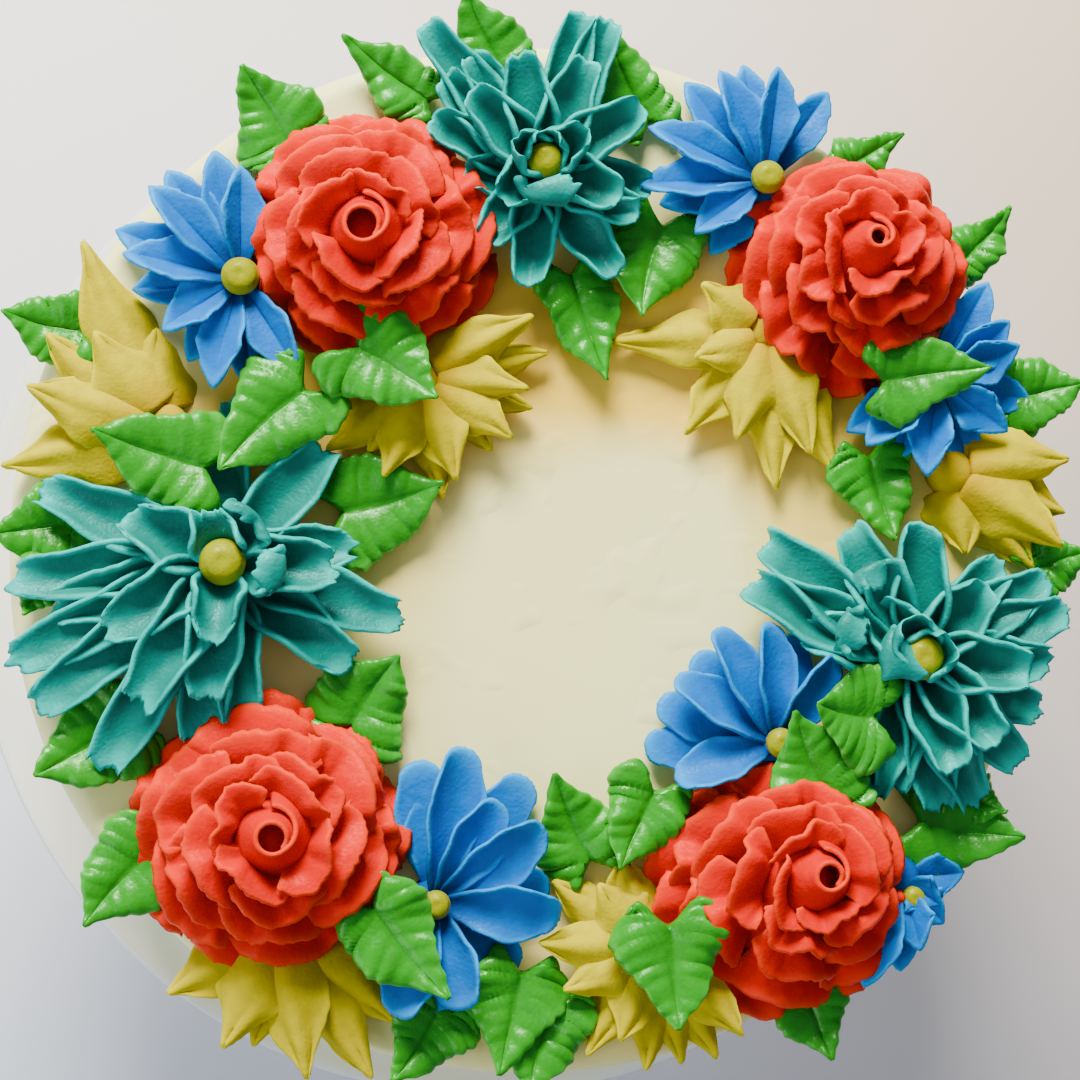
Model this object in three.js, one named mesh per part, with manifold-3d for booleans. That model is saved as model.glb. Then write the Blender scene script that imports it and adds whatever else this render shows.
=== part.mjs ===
// A round iced cake on a footed stand, with a wreath of piped flowers and leaves on the cake's top.
// Millimetres, +Z up. The origin is the centre of the foot's base.

import * as THREE from 'three';
import { mergeVertices } from 'three/addons/utils/BufferGeometryUtils.js';
import Module from 'manifold-3d';

const wasm = await Module();
wasm.setup();

// Driving dimensions

const GAP = 0.3; // between any two pieces

const FOOT = { radius: 62, edge: 3, shoulderRadius: 44.6, shoulderHeight: 9, neckRadius: 24.8, neckHeight: 20 };
const STEM = { waistRadius: 17, waistHeight: 46, flareRadius: 25.5, flareHeight: 76 };
const PLATE = { radius: 125, hubRadius: 51, hubHeight: 87, flatRadius: 117, underHeight: 90, lip: 3 };
const RIM = { outerDrop: 1, crestInset: 2, innerInset: 9 };
const SEAT_HEIGHT = 95;
const STAND_SEGMENTS = 24;

const CAKE_RADIUS = 106;
const CAKE_HEIGHT = 100;
const CAKE_EDGE_ROUND = 5;
const CAKE_EDGE_ANGLES = [0, Math.PI / 4, Math.PI / 2];
const CAKE_SEGMENTS = 40;
const CAKE_BASE = SEAT_HEIGHT + GAP;
const CAKE_TOP = CAKE_BASE + CAKE_HEIGHT;

// A point high above the wreath, where the space over a leaf that lies on a flower ends.
const ABOVE_ALL = CAKE_TOP + 60;

const COLOURS = {
  china: 0xf2f1ee,
  icing: 0xf0e8cc,
  coral: 0xf4492d,
  teal: 0x00a08f,
  blue: 0x1f72cc,
  yellow: 0xf7d714,
  dot: 0xe0cc1e,
  green: 0x3f9a2c,
};

// The view that the flowers are placed by. It is a square picture, and a place in it is
// [pixels across, pixels down]. The eye and the aim are measured from the centre of the cake's top.

const PICTURE_CENTRE = 540;
const PICTURE_FOCAL = 2322;
const EYE = new THREE.Vector3(-50, -35, 470);
const AIM = new THREE.Vector3(1.2, 2.1, 0);

const UP = new THREE.Vector3(0, 0, 1);
const forward = AIM.clone().sub(EYE).normalize();
const rightward = forward.clone().cross(new THREE.Vector3(0, 1, 0)).normalize();
const upward = rightward.clone().cross(forward);

// The point at this height above the cake's top that shows at this place in the picture.
function seen([across, down], height) {
  const ray = forward.clone().multiplyScalar(PICTURE_FOCAL);
  ray.addScaledVector(rightward, across - PICTURE_CENTRE);
  ray.addScaledVector(upward, PICTURE_CENTRE - down);
  const point = EYE.clone().addScaledVector(ray, (height - EYE.z) / ray.z);
  point.z = CAKE_TOP + height;
  return point;
}

// Closed solids

function solidFrom(positions, triangles) {
  const mesh = new wasm.Mesh({
    numProp: 3,
    vertProperties: new Float32Array(positions),
    triVerts: new Uint32Array(triangles),
  });
  return new wasm.Manifold(mesh);
}

// A turned shape from [radius, height] pairs that start and end on the axis, set at a place.
const SEAM_TOLERANCE = 1e-4;

function turned(profile, segments, place) {
  const points = profile.map(([radius, height]) => new THREE.Vector2(radius, height));
  const lathe = new THREE.LatheGeometry(points, segments);
  lathe.rotateX(Math.PI / 2);
  lathe.translate(place.x, place.y, place.z);
  lathe.deleteAttribute('normal');
  lathe.deleteAttribute('uv');
  const merged = mergeVertices(lathe, SEAM_TOLERANCE);
  return solidFrom(merged.attributes.position.array, merged.index.array);
}

// Both directions of a sheet at one spot, by small steps that stay on the sheet.
function tangents(surface, t, s) {
  const step = 0.02;
  const alongEnd = surface(Math.min(t + step, 1), s);
  const along = alongEnd.sub(surface(Math.max(t - step, 0), s)).normalize();
  const acrossEnd = surface(t, Math.min(s + step, 1));
  const across = acrossEnd.sub(surface(t, Math.max(s - step, -1))).normalize();
  return { along, across };
}

// The corners of a grid's two triangles in each cell. The diagonals of the four corner cells all
// start in the grid's own corners, so no triangle lies wholly on the rim.
function gridTriangles(rows, columns, vertex, reversed) {
  const triangles = [];
  for (let i = 0; i < rows; i++) {
    for (let j = 0; j < columns; j++) {
      const a = vertex(i, j);
      const b = vertex(i + 1, j);
      const c = vertex(i + 1, j + 1);
      const d = vertex(i, j + 1);
      const sameSide = (i < rows / 2) === (j < columns / 2);
      const pair = sameSide ? [[a, b, c], [a, c, d]] : [[a, b, d], [b, c, d]];
      for (const [p, q, r] of pair) {
        triangles.push(...(reversed ? [p, r, q] : [p, q, r]));
      }
    }
  }
  return triangles;
}

// A thin sheet whose two faces meet along its rim. surface(t, s) is the middle face, with t from 0 at
// the root to 1 at the tip, and s from -1 to 1 across. A grown sheet is larger all round by that much.
function sheet(surface, rows, columns, thickness, grown) {
  const positions = [];
  const upper = [];
  const lower = [];
  const add = (point) => positions.push(point.x, point.y, point.z) / 3 - 1;
  const rimGrowth = 2 * grown;
  for (let i = 0; i <= rows; i++) {
    for (let j = 0; j <= columns; j++) {
      const t = i / rows;
      const s = (2 * j) / columns - 1;
      const point = surface(t, s);
      const end = i === 0 ? -1 : i === rows ? 1 : 0;
      const side = j === 0 ? -1 : j === columns ? 1 : 0;
      const { along, across } = tangents(surface, t, s);
      if (end !== 0 || side !== 0) {
        point.addScaledVector(along, end * rimGrowth);
        point.addScaledVector(across, side * rimGrowth);
        upper.push(add(point));
        lower.push(upper.at(-1));
      } else {
        const normal = along.cross(across).normalize();
        const half = thickness / 2 + grown;
        upper.push(add(point.clone().addScaledVector(normal, half)));
        lower.push(add(point.clone().addScaledVector(normal, -half)));
      }
    }
  }
  const top = gridTriangles(rows, columns, (i, j) => upper[i * (columns + 1) + j], false);
  const bottom = gridTriangles(rows, columns, (i, j) => lower[i * (columns + 1) + j], true);
  return solidFrom(positions, [...top, ...bottom]);
}

// The space that a leaf takes from what it lies on: all that is above its grown underside.
function spaceAbove(surface, rows, columns, thickness, grown) {
  const positions = [];
  const count = (rows + 1) * (columns + 1);
  const lids = [];
  for (let i = 0; i <= rows; i++) {
    for (let j = 0; j <= columns; j++) {
      const t = i / rows;
      const s = (2 * j) / columns - 1;
      const point = surface(t, s);
      const end = i === 0 ? -1 : i === rows ? 1 : 0;
      const side = j === 0 ? -1 : j === columns ? 1 : 0;
      const { along, across } = tangents(surface, t, s);
      const inside = end === 0 && side === 0;
      point.addScaledVector(along, end * grown);
      point.addScaledVector(across, side * grown);
      point.z -= grown + (inside ? thickness / 2 : 0);
      positions.push(point.x, point.y, point.z);
      lids.push(point.x, point.y, ABOVE_ALL);
    }
  }
  positions.push(...lids);
  const low = (i, j) => i * (columns + 1) + j;
  const high = (i, j) => low(i, j) + count;
  const triangles = gridTriangles(rows, columns, high, false);
  triangles.push(...gridTriangles(rows, columns, low, true));
  const rim = [];
  for (let i = 0; i < rows; i++) rim.push([i, 0]);
  for (let j = 0; j < columns; j++) rim.push([rows, j]);
  for (let i = rows; i > 0; i--) rim.push([i, columns]);
  for (let j = columns; j > 0; j--) rim.push([0, j]);
  rim.forEach(([i, j], k) => {
    const [m, n] = rim[(k + 1) % rim.length];
    triangles.push(low(i, j), low(m, n), high(m, n));
    triangles.push(low(i, j), high(m, n), high(i, j));
  });
  return solidFrom(positions, triangles);
}

// A closed skin of rings that is capped flat at its first and last ring. Each row gives a radius and a
// height for an angle, and at(radius, height, angle) places them.
function ringedSolid(rows, columns, at) {
  const positions = [];
  const add = (point) => positions.push(point.x, point.y, point.z) / 3 - 1;
  const corners = rows.map((row) =>
    Array.from({ length: columns }, (_, column) => {
      const angle = (2 * Math.PI * column) / columns;
      const { radius, height } = row(angle, column);
      return add(at(radius, height, angle));
    }),
  );
  const bottom = add(at(0, rows[0](0, 0).height, 0));
  const top = add(at(0, rows.at(-1)(0, 0).height, 0));
  const triangles = [];
  for (let column = 0; column < columns; column++) {
    const next = (column + 1) % columns;
    triangles.push(bottom, corners[0][next], corners[0][column]);
    triangles.push(top, corners.at(-1)[column], corners.at(-1)[next]);
    for (let row = 0; row + 1 < rows.length; row++) {
      const [a, b] = [corners[row][column], corners[row][next]];
      const [c, d] = [corners[row + 1][next], corners[row + 1][column]];
      triangles.push(a, b, c, a, c, d);
    }
  }
  return solidFrom(positions, triangles);
}

function largestBody(solid) {
  const bodies = solid.decompose();
  return bodies.reduce((best, body) => (body.volume() > best.volume() ? body : best));
}

// Petals and leaves as middle faces

// How wide a shape is along its length, as a share of its widest: round fans out to the widest place
// and closes in a round tip, pointed is widest near its middle, blunt ends almost at full width, and
// heart is widest at its root.
const WIDTHS = {
  round: (t) => 0.3 + 0.7 * Math.sin(Math.PI * t ** 1.7) ** 0.7 * (1 - 0.25 * t),
  pointed: (t) => 0.06 + 1.26 * (1 - t ** 1.7) * (0.62 + 0.75 * t),
  blunt: (t) => 0.45 + 0.6 * Math.sin(Math.PI * t ** 0.8) + 0.3 * t,
  heart: (t) => 0.07 + (1 - t) ** 1.15 * (0.86 + 1.1 * t),
};

// A petal on a bent centre line from root to tip, drawn towards the point over. Curl turns its sides
// up, or down if negative, and roll turns the whole petal about its own length.
function petalSurface({ root, over, tip, halfWidth, curl, roll = 0, width }) {
  const heading = over.clone().sub(root).setZ(0).normalize();
  const flatAcross = UP.clone().cross(heading).applyAxisAngle(heading, roll);
  const curve = new THREE.QuadraticBezierCurve3(root, over, tip);
  const spread = Math.sin(Math.min(Math.abs(curl), Math.PI / 2)) * Math.sign(curl);
  return (t, s) => {
    const normal = curve.getTangent(t).cross(flatAcross).normalize();
    const half = (halfWidth * width(t)) / spread;
    const point = curve.getPoint(t);
    point.addScaledVector(flatAcross, half * Math.sin(s * curl));
    point.addScaledVector(normal, half * (1 - Math.cos(s * curl)));
    return point;
  };
}

// The petals of a tier in order round its centre. Each has its heading and the angles to its neighbours.
function inOrder(petals, centre) {
  const placed = petals.map((petal) => ({
    ...petal,
    heading: Math.atan2(petal.over.y - centre.y, petal.over.x - centre.x),
  }));
  placed.sort((first, second) => first.heading - second.heading);
  const fullTurn = 2 * Math.PI;
  return placed.map((petal, index) => {
    const before = petal.heading - placed.at(index - 1).heading;
    const after = placed[(index + 1) % placed.length].heading - petal.heading;
    const gapBefore = (before + fullTurn) % fullTurn || fullTurn;
    const gapAfter = (after + fullTurn) % fullTurn || fullTurn;
    return { ...petal, gapBefore, gapAfter };
  });
}

// A petal keeps to its own sector of the plan, between the bisectors to its neighbours, so that no two
// petals of a tier overlap. A petal that is alone in its tier has no sector.
const MOST_SECTOR = 1.4;
const SECTOR_MARGIN = 0.012;

function sectorOf(gap) {
  return gap === 2 * Math.PI ? Math.PI : Math.min(gap / 2 - SECTOR_MARGIN, MOST_SECTOR);
}

// The rim of a petal's row at its left (side 1) or right (side -1), as far out as the sector lets it be.
const RIM_STEP = 0.04;

function rimPoint(surface, t, side, centre, { heading, gapBefore, gapAfter }) {
  const limit = sectorOf(side > 0 ? gapAfter : gapBefore);
  for (let share = 1; share > RIM_STEP; share -= RIM_STEP) {
    const point = surface(t, side * share);
    const turn = Math.atan2(point.y - centre.y, point.x - centre.x) - heading;
    if (side * Math.atan2(Math.sin(turn), Math.cos(turn)) < limit) return point;
  }
  return surface(t, side * RIM_STEP);
}

// One tier of petals that grow from a flat hub, as one closed skin. Each petal has a section of four
// corners in every row: right rim, upper middle, left rim and lower middle. The tip row has no
// thickness unless the petal is grown, and its diagonals start in its own two ends.
const ROOT_SHARE = 0.45;
const MOST_ROOT_SPREAD = 0.4;

function petalTier({ centre, hubRadius, hubThickness, petals, rowPlaces, thickness }, grown) {
  const positions = [];
  const triangles = [];
  const add = (point) => positions.push(point.x, point.y, point.z) / 3 - 1;
  const onHub = (angle, lift) => {
    const radius = hubRadius + grown;
    const outward = new THREE.Vector3(Math.cos(angle), Math.sin(angle), 0);
    return centre.clone().addScaledVector(outward, radius).setZ(centre.z + lift);
  };
  const apexTop = add(centre.clone().setZ(centre.z + hubThickness / 2 + grown));
  const apexBottom = add(centre.clone().setZ(centre.z - hubThickness / 2 - grown));
  const half = thickness / 2 + grown;
  const ring = [];
  for (const petal of petals) {
    const { heading, gapBefore, gapAfter } = petal;
    const spread = (gap) => Math.min(ROOT_SHARE * gap, MOST_ROOT_SPREAD);
    const surface = petalSurface({ ...petal, root: onHub(heading, 0) });
    let section = [
      add(onHub(heading - spread(gapBefore), 0)),
      add(onHub(heading, half)),
      add(onHub(heading + spread(gapAfter), 0)),
      add(onHub(heading, -half)),
    ];
    ring.push([section[0], section[0]], [section[1], section[3]], [section[2], section[2]]);
    for (const t of [...rowPlaces, 1]) {
      const { along, across } = tangents(surface, t, 0);
      const normal = along.clone().cross(across).normalize();
      const end = t === 1;
      const middle = surface(t, 0).addScaledVector(along, end ? 2 * grown : 0);
      const rim = (side) => {
        const point = rimPoint(surface, t, side, centre, petal).addScaledVector(along, end ? 2 * grown : 0);
        return point.addScaledVector(point.clone().sub(middle).normalize(), 2 * grown);
      };
      const face = (lift) => middle.clone().addScaledVector(normal, lift);
      const lift = end ? grown : half;
      const [right, upper, left] = [add(rim(-1)), add(face(lift)), add(rim(1))];
      const lower = lift > 0 ? add(face(-lift)) : upper;
      const next = [right, upper, left, lower];
      for (let k = 0; k < 4; k++) {
        const [p, q] = [section[k], section[(k + 1) % 4]];
        const [m, n] = [next[k], next[(k + 1) % 4]];
        const fromNear = (k % 2 === 0) !== end;
        triangles.push(...(fromNear ? [p, m, n, p, n, q] : [p, m, q, m, n, q]));
      }
      section = next;
    }
    if (grown > 0) {
      const [right, upper, left, lower] = section;
      triangles.push(right, lower, left, right, left, upper);
    }
  }
  ring.forEach(([top, bottom], index) => {
    const [nextTop, nextBottom] = ring[(index + 1) % ring.length];
    triangles.push(apexTop, top, nextTop, apexBottom, nextBottom, bottom);
  });
  return solidFrom(positions, triangles);
}

// A flower of tiers that grow out of one upright core, with their hubs inside it. A petal's outermost
// point is halfway along it, unless it bends over that point. In a grown flower each petal is a solid of
// its own, because grown petals of one tier overlap.
const CORE_SEGMENTS = 7;
const CORE_TAPER = 0.9;

function tieredFlower({ axis, coreRadius, coreHeight, tiers }, grown) {
  const solids = tiers.flatMap(({ height, petals, ...tier }) => {
    const centre = axis.clone().setZ(CAKE_TOP + height);
    const bent = petals.map(({ tip, over, arch = 0, ...petal }) => {
      if (over) return { ...petal, tip, over };
      const halfway = centre.clone().lerp(tip, 0.5);
      halfway.z += 2 * arch;
      return { ...petal, tip, over: halfway };
    });
    const ordered = inOrder(bent, centre);
    const groups = grown > 0 ? ordered.map((petal) => [petal]) : [ordered];
    return groups.map((group) => petalTier({ ...tier, centre, petals: group }, grown));
  });
  const top = coreHeight + grown;
  const profile = [[0, GAP], [coreRadius + grown, GAP], [CORE_TAPER * coreRadius + grown, top], [0, top]];
  return wasm.Manifold.union([turned(profile, CORE_SEGMENTS, axis.clone().setZ(CAKE_TOP)), ...solids]);
}

// A piped leaf: a valley along its middle, two lobes that swell back at the root, cross ripples and
// a tip that was pulled away.
const LEAF_VALLEY = 2.2;
const LEAF_DROOP = 1.5;
const LEAF_TIP_LIFT = 2.5;
const LEAF_RIPPLE = 0.45;
const LEAF_RIPPLES = 2.5;
const LEAF_LOBE = 0.55;

function leafSurface({ root, tip, halfWidth }) {
  const run = tip.clone().sub(root);
  const direction = run.clone().normalize();
  const across = UP.clone().cross(direction).normalize();
  return (t, s) => {
    const half = halfWidth * WIDTHS.heart(t);
    const outward = Math.abs(s);
    const point = root.clone().addScaledVector(run, t);
    point.addScaledVector(across, half * s);
    point.addScaledVector(direction, -LEAF_LOBE * halfWidth * (1 - t) ** 2 * outward ** 1.5);
    const valley = -LEAF_VALLEY * (1 - outward) ** 2;
    const droop = -LEAF_DROOP * outward ** 3;
    const ripple = LEAF_RIPPLE * outward * Math.cos(2 * Math.PI * LEAF_RIPPLES * t);
    point.z += (valley + droop + ripple) * (1 - t * t) + LEAF_TIP_LIFT * t ** 3;
    return point;
  };
}

// Roses: rings of ruffled petals round a bud. The skin climbs from each ring's edge to the next, with a
// valley inside every edge. Radii and heights are those of a rose whose reach is ROSE_REACH.

const ROSE_REACH = 25;
const ROSE_HEIGHT = 26;
const ROSE_COLUMNS = 20;
const ROSE_FOOT = { radius: 11.5, height: 0.4 };
const ROSE_SKIRT = { radius: 13, height: 6 };
const ROSE_RINGS = [
  { petals: 7, edgeRadius: 24, edgeHeight: 9.5, valleyRadius: 17, valleyHeight: 8.6 },
  { petals: 7, edgeRadius: 20.5, edgeHeight: 14.5, valleyRadius: 13, valleyHeight: 11.8 },
  { petals: 6, edgeRadius: 16, edgeHeight: 19.5, valleyRadius: 8.8, valleyHeight: 16 },
  { petals: 5, edgeRadius: 11, edgeHeight: 23, valleyRadius: 5.8, valleyHeight: 19.5 },
  { petals: 3, edgeRadius: 7, edgeHeight: 25, valleyRadius: 4.4, valleyHeight: 22.5 },
];
const ROSE_BUD = { radius: 3.4, height: 26, holeRadius: 1.7, holeDepth: 4 };
const ROSE_SCALLOP = 2.4;
const ROSE_SLANT = 2.8;
const ROSE_PLEAT = 0.9;
const ROSE_PLEAT_LIFT = 0.4;
const ROSE_BUD_RUFFLE = 0.3;

const ROSES = [
  { name: 'rose_1', middle: [370, 236], bud: [362, 222], reach: 25.5, turn: 0.2 },
  { name: 'rose_2', middle: [852, 268], bud: [880, 235], reach: 25, turn: 0.9 },
  { name: 'rose_3', middle: [271, 836], bud: [272, 838], reach: 28, turn: 1.7 },
  { name: 'rose_4', middle: [785, 893], bud: [832, 876], reach: 26.5, turn: 2.6 },
];
const ROSE_MIDDLE_HEIGHT = 9;

// A ring's edge at an angle: each petal bulges in its middle, its two ends lie in front of one
// neighbour and behind the other, and its rim is pleated from column to column. The ruffles are
// smaller towards the bud.
function roseEdge(ring, angle, column) {
  const turns = (ring.petals * angle) / (2 * Math.PI);
  const acrossPetal = turns - Math.floor(turns) - 0.5;
  const dip = (2 * acrossPetal) ** 2;
  const share = ROSE_BUD_RUFFLE + ((1 - ROSE_BUD_RUFFLE) * ring.edgeRadius) / ROSE_REACH;
  const pleat = share * ROSE_PLEAT * (column % 2 === 0 ? 1 : -1);
  const drop = share * ROSE_SCALLOP * dip;
  return {
    radius: ring.edgeRadius - drop + share * ROSE_SLANT * acrossPetal + pleat,
    height: ring.edgeHeight - drop + pleat * ROSE_PLEAT_LIFT,
  };
}

function roseSolid({ middle, bud, reach, turn }, grown) {
  const low = seen(middle, ROSE_MIDDLE_HEIGHT);
  const high = seen(bud, ROSE_HEIGHT);
  const lean = high.clone().sub(low).divideScalar(ROSE_HEIGHT - ROSE_MIDDLE_HEIGHT);
  const scale = reach / ROSE_REACH;
  const at = (radius, height, angle) => {
    const point = low.clone().addScaledVector(lean, height - ROSE_MIDDLE_HEIGHT);
    point.x += radius * scale * Math.cos(angle);
    point.y += radius * scale * Math.sin(angle);
    point.z = CAKE_TOP + height;
    return point;
  };
  const rows = [
    () => ({ radius: ROSE_FOOT.radius + grown, height: ROSE_FOOT.height - grown }),
    () => ({ radius: ROSE_SKIRT.radius + grown, height: ROSE_SKIRT.height - grown }),
  ];
  ROSE_RINGS.forEach((ring, index) => {
    for (const lift of grown > 0 ? [-grown, grown] : [0]) {
      rows.push((angle, column) => {
        const edge = roseEdge(ring, angle + turn + index, column);
        return { radius: edge.radius + grown, height: edge.height + lift };
      });
    }
    rows.push(() => ({ radius: ring.valleyRadius + grown, height: ring.valleyHeight + grown }));
  });
  rows.push(() => ({ radius: ROSE_BUD.radius + grown, height: ROSE_BUD.height + grown }));
  rows.push(() => ({ radius: ROSE_BUD.holeRadius, height: ROSE_BUD.height - ROSE_BUD.holeDepth }));
  return ringedSolid(rows, ROSE_COLUMNS, at);
}

// Teal daisies: long channel petals with blunt tips, in tiers that climb to the yellow dot. The dot's
// place is the flower's axis. A hood petal starts inside the core, rises outside and bends back over
// towards the dot.

const TEAL_TIERS = {
  outer: { height: 4, tipHeight: 6.5, arch: 1, curl: 1.1 },
  middle: { height: 8, tipHeight: 12.5, arch: 1, curl: 1.1 },
  inner: { height: 11.5, tipHeight: 18, arch: 0.5, curl: 1 },
};
const TEAL_HOOD = { height: 10, overHeight: 20, tipHeight: 19, curl: 0.3, share: 0.7 };
const TEAL_HOOD_ROWS = [0.4, 0.75];
const TEAL_INNER_SHARE = 0.85;
const TEAL_PETAL_THICKNESS = 1.7;
const TEAL_ROWS = [0.55];
const TEAL_CORE = { radius: 5.5, height: 13.5 };
const TEAL_HUB = { hubRadius: 3, hubThickness: 1.8 };
const TEAL_DOT_HEIGHT = 16;

const TEALS = [
  {
    name: 'teal_flower_1',
    dot: [545, 160],
    halfWidth: 4.2,
    outer: [
      [424, 30], [441, 82], [431, 124], [466, 180], [484, 245], [526, 288], [614, 278],
      [636, 218], [648, 190], [581, 18], [608, 26], [470, 60],
    ],
    middle: [[468, 96], [516, 58], [586, 64], [641, 112], [620, 202], [500, 205]],
    inner: [[592, 130], [506, 142], [546, 124]],
    hood: [{ over: [515, 222], tip: [572, 178] }],
  },
  {
    name: 'teal_flower_2',
    dot: [222, 562],
    halfWidth: 4.7,
    outer: [
      [42, 487], [10, 578], [48, 611], [9, 664], [34, 709], [102, 768], [198, 742], [242, 726],
      [350, 664], [400, 618], [327, 446], [236, 396], [352, 545],
    ],
    middle: [[126, 515], [106, 630], [136, 704], [207, 702], [334, 566]],
    inner: [[212, 643], [206, 505]],
    hood: [{ over: [275, 500], tip: [232, 512] }, { over: [318, 585], tip: [256, 562] }],
  },
  {
    name: 'teal_flower_3',
    dot: [922, 657],
    halfWidth: 4.7,
    outer: [
      [762, 540], [748, 585], [800, 628], [846, 528], [1003, 562], [1044, 580], [1067, 610], [1050, 664],
      [1039, 712], [1019, 765], [977, 808], [938, 806], [888, 790], [865, 800],
    ],
    middle: [[916, 524], [984, 586], [1028, 672], [994, 745], [950, 772], [868, 606]],
    inner: [[900, 612], [958, 640]],
    hood: [{ over: [852, 640], tip: [928, 668] }],
  },
];

function tealSolid({ dot, halfWidth, hood, ...places }, grown) {
  const style = { width: WIDTHS.blunt };
  const tiers = Object.entries(TEAL_TIERS).map(([tierName, tier]) => ({
    ...TEAL_HUB,
    height: tier.height,
    rowPlaces: TEAL_ROWS,
    thickness: TEAL_PETAL_THICKNESS,
    petals: places[tierName].map((place) => ({
      ...style,
      tip: seen(place, tier.tipHeight),
      arch: tier.arch,
      curl: tier.curl,
      halfWidth: tierName === 'inner' ? halfWidth * TEAL_INNER_SHARE : halfWidth,
    })),
  }));
  for (const { over, tip } of hood) {
    const petal = {
      ...style,
      tip: seen(tip, TEAL_HOOD.tipHeight),
      over: seen(over, TEAL_HOOD.overHeight),
      curl: TEAL_HOOD.curl,
      halfWidth: halfWidth * TEAL_HOOD.share,
    };
    tiers.push({
      ...TEAL_HUB,
      height: TEAL_HOOD.height,
      rowPlaces: TEAL_HOOD_ROWS,
      thickness: TEAL_PETAL_THICKNESS,
      petals: [petal],
    });
  }
  const axis = seen(dot, TEAL_DOT_HEIGHT);
  const core = { coreRadius: TEAL_CORE.radius, coreHeight: TEAL_CORE.height };
  return tieredFlower({ axis, ...core, tiers }, grown);
}

// Blue fans: petals that overlap like a hand of cards, each rolled a little about its length.

const BLUE_CORE = { radius: 4.4, height: 7.5 };
const BLUE_HUB = { hubRadius: 2.4, hubThickness: 2 };
const BLUE_PETAL_THICKNESS = 1.9;
const BLUE_ROWS = [0.7];
const BLUE_TIERS = [
  { height: 2.8, tipHeight: 3.4 },
  { height: 6.2, tipHeight: 9.5 },
];
const BLUE_ARCH = 0.6;
const BLUE_ROLL = 0.25;
const BLUE_CURL = 0.6;
const BLUE_DOT_HEIGHT = 10;

const BLUES = [
  {
    name: 'blue_flower_1',
    dot: [240, 276],
    halfWidth: 4.9,
    tips: [
      [214, 150], [240, 165], [166, 170], [148, 186], [115, 230], [122, 254], [132, 290], [162, 332],
      [188, 362], [213, 389], [252, 389], [298, 372],
    ],
  },
  {
    name: 'blue_flower_2',
    dot: [768, 177],
    halfWidth: 4.7,
    tips: [
      [828, 92], [778, 66], [743, 65], [719, 70], [684, 82], [648, 127], [672, 140], [640, 186],
      [659, 205], [695, 234], [710, 255],
    ],
  },
  {
    name: 'blue_flower_3',
    dot: [940, 378],
    halfWidth: 4.9,
    tips: [
      [988, 282], [1020, 345], [1031, 401], [1008, 432], [974, 467], [927, 477], [895, 460], [866, 446],
      [846, 432], [1010, 320],
    ],
  },
  {
    name: 'blue_flower_4',
    dot: [781, 743],
    halfWidth: 5,
    tips: [
      [644, 748], [676, 782], [657, 704], [674, 680], [694, 655], [722, 627], [745, 652], [764, 622],
      [795, 634], [836, 656],
    ],
  },
  {
    name: 'blue_flower_5',
    dot: [436, 905],
    halfWidth: 5.8,
    tips: [
      [418, 760], [462, 746], [432, 790], [498, 800], [528, 778], [544, 826], [550, 886], [562, 912],
      [517, 970], [466, 1010], [434, 1016], [398, 1018],
    ],
  },
  {
    name: 'blue_flower_6',
    dot: [905, 880],
    halfWidth: 4.8,
    tips: [[965, 872], [942, 905], [944, 924], [921, 952], [900, 972], [864, 988]],
  },
];

function blueSolid({ dot, halfWidth, tips }, grown) {
  const tiers = BLUE_TIERS.map(({ height, tipHeight }, tierIndex) => ({
    ...BLUE_HUB,
    height,
    rowPlaces: BLUE_ROWS,
    thickness: BLUE_PETAL_THICKNESS,
    petals: tips.filter((_, index) => index % 2 === tierIndex).map((place) => ({
      tip: seen(place, tipHeight),
      arch: BLUE_ARCH,
      curl: BLUE_CURL,
      roll: BLUE_ROLL,
      halfWidth,
      width: WIDTHS.round,
    })),
  }));
  const axis = seen(dot, BLUE_DOT_HEIGHT);
  const core = { coreRadius: BLUE_CORE.radius, coreHeight: BLUE_CORE.height };
  return tieredFlower({ axis, ...core, tiers }, grown);
}

// Yellow flowers: thick pointed petals with a crease, laid like a starfish.

const YELLOW_CORE = { radius: 5, height: 7.4 };
const YELLOW_HUB = { hubRadius: 3, hubThickness: 3 };
const YELLOW_PETAL_THICKNESS = 3;
const YELLOW_ROWS = [0.5];
const YELLOW_TIERS = {
  lower: { height: 3, tipHeight: 3.4 },
  upper: { height: 6, tipHeight: 7.4 },
};
const YELLOW_ARCH = 1;
const YELLOW_CURL = 0.45;

// Lower petals lie nearest the cake, and upper petals lie over them.
const YELLOWS = [
  {
    name: 'yellow_flower_1',
    middle: [164, 424],
    halfWidth: 7.4,
    lower: [[82, 241], [46, 334], [2, 466], [156, 329]],
    upper: [[94, 332], [27, 386]],
  },
  {
    name: 'yellow_flower_2',
    middle: [422, 378],
    halfWidth: 5.4,
    lower: [[548, 352], [532, 408], [492, 450], [442, 499], [369, 452], [327, 450]],
    upper: [[533, 315], [528, 388], [513, 438], [456, 480], [384, 476]],
  },
  {
    name: 'yellow_flower_3',
    middle: [766, 330],
    halfWidth: 6.2,
    lower: [[613, 342], [685, 434], [776, 490], [836, 473]],
    upper: [[702, 284], [695, 358], [736, 439], [811, 454]],
  },
  {
    name: 'yellow_flower_4',
    middle: [956, 470],
    halfWidth: 7.2,
    lower: [[1003, 436], [1064, 512], [1033, 568], [966, 554]],
    upper: [[1068, 459], [1062, 546]],
  },
  {
    name: 'yellow_flower_5',
    middle: [652, 945],
    halfWidth: 5.4,
    lower: [[587, 1055], [646, 1070], [682, 1063], [717, 1058], [553, 881], [618, 852]],
    upper: [[539, 943], [564, 990], [620, 1041], [743, 1035], [598, 884]],
  },
  {
    name: 'yellow_flower_6',
    middle: [275, 928],
    halfWidth: 7.4,
    lower: [[168, 994], [254, 1046], [372, 1078], [396, 1022]],
    upper: [[223, 1048], [307, 1079]],
  },
];

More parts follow.
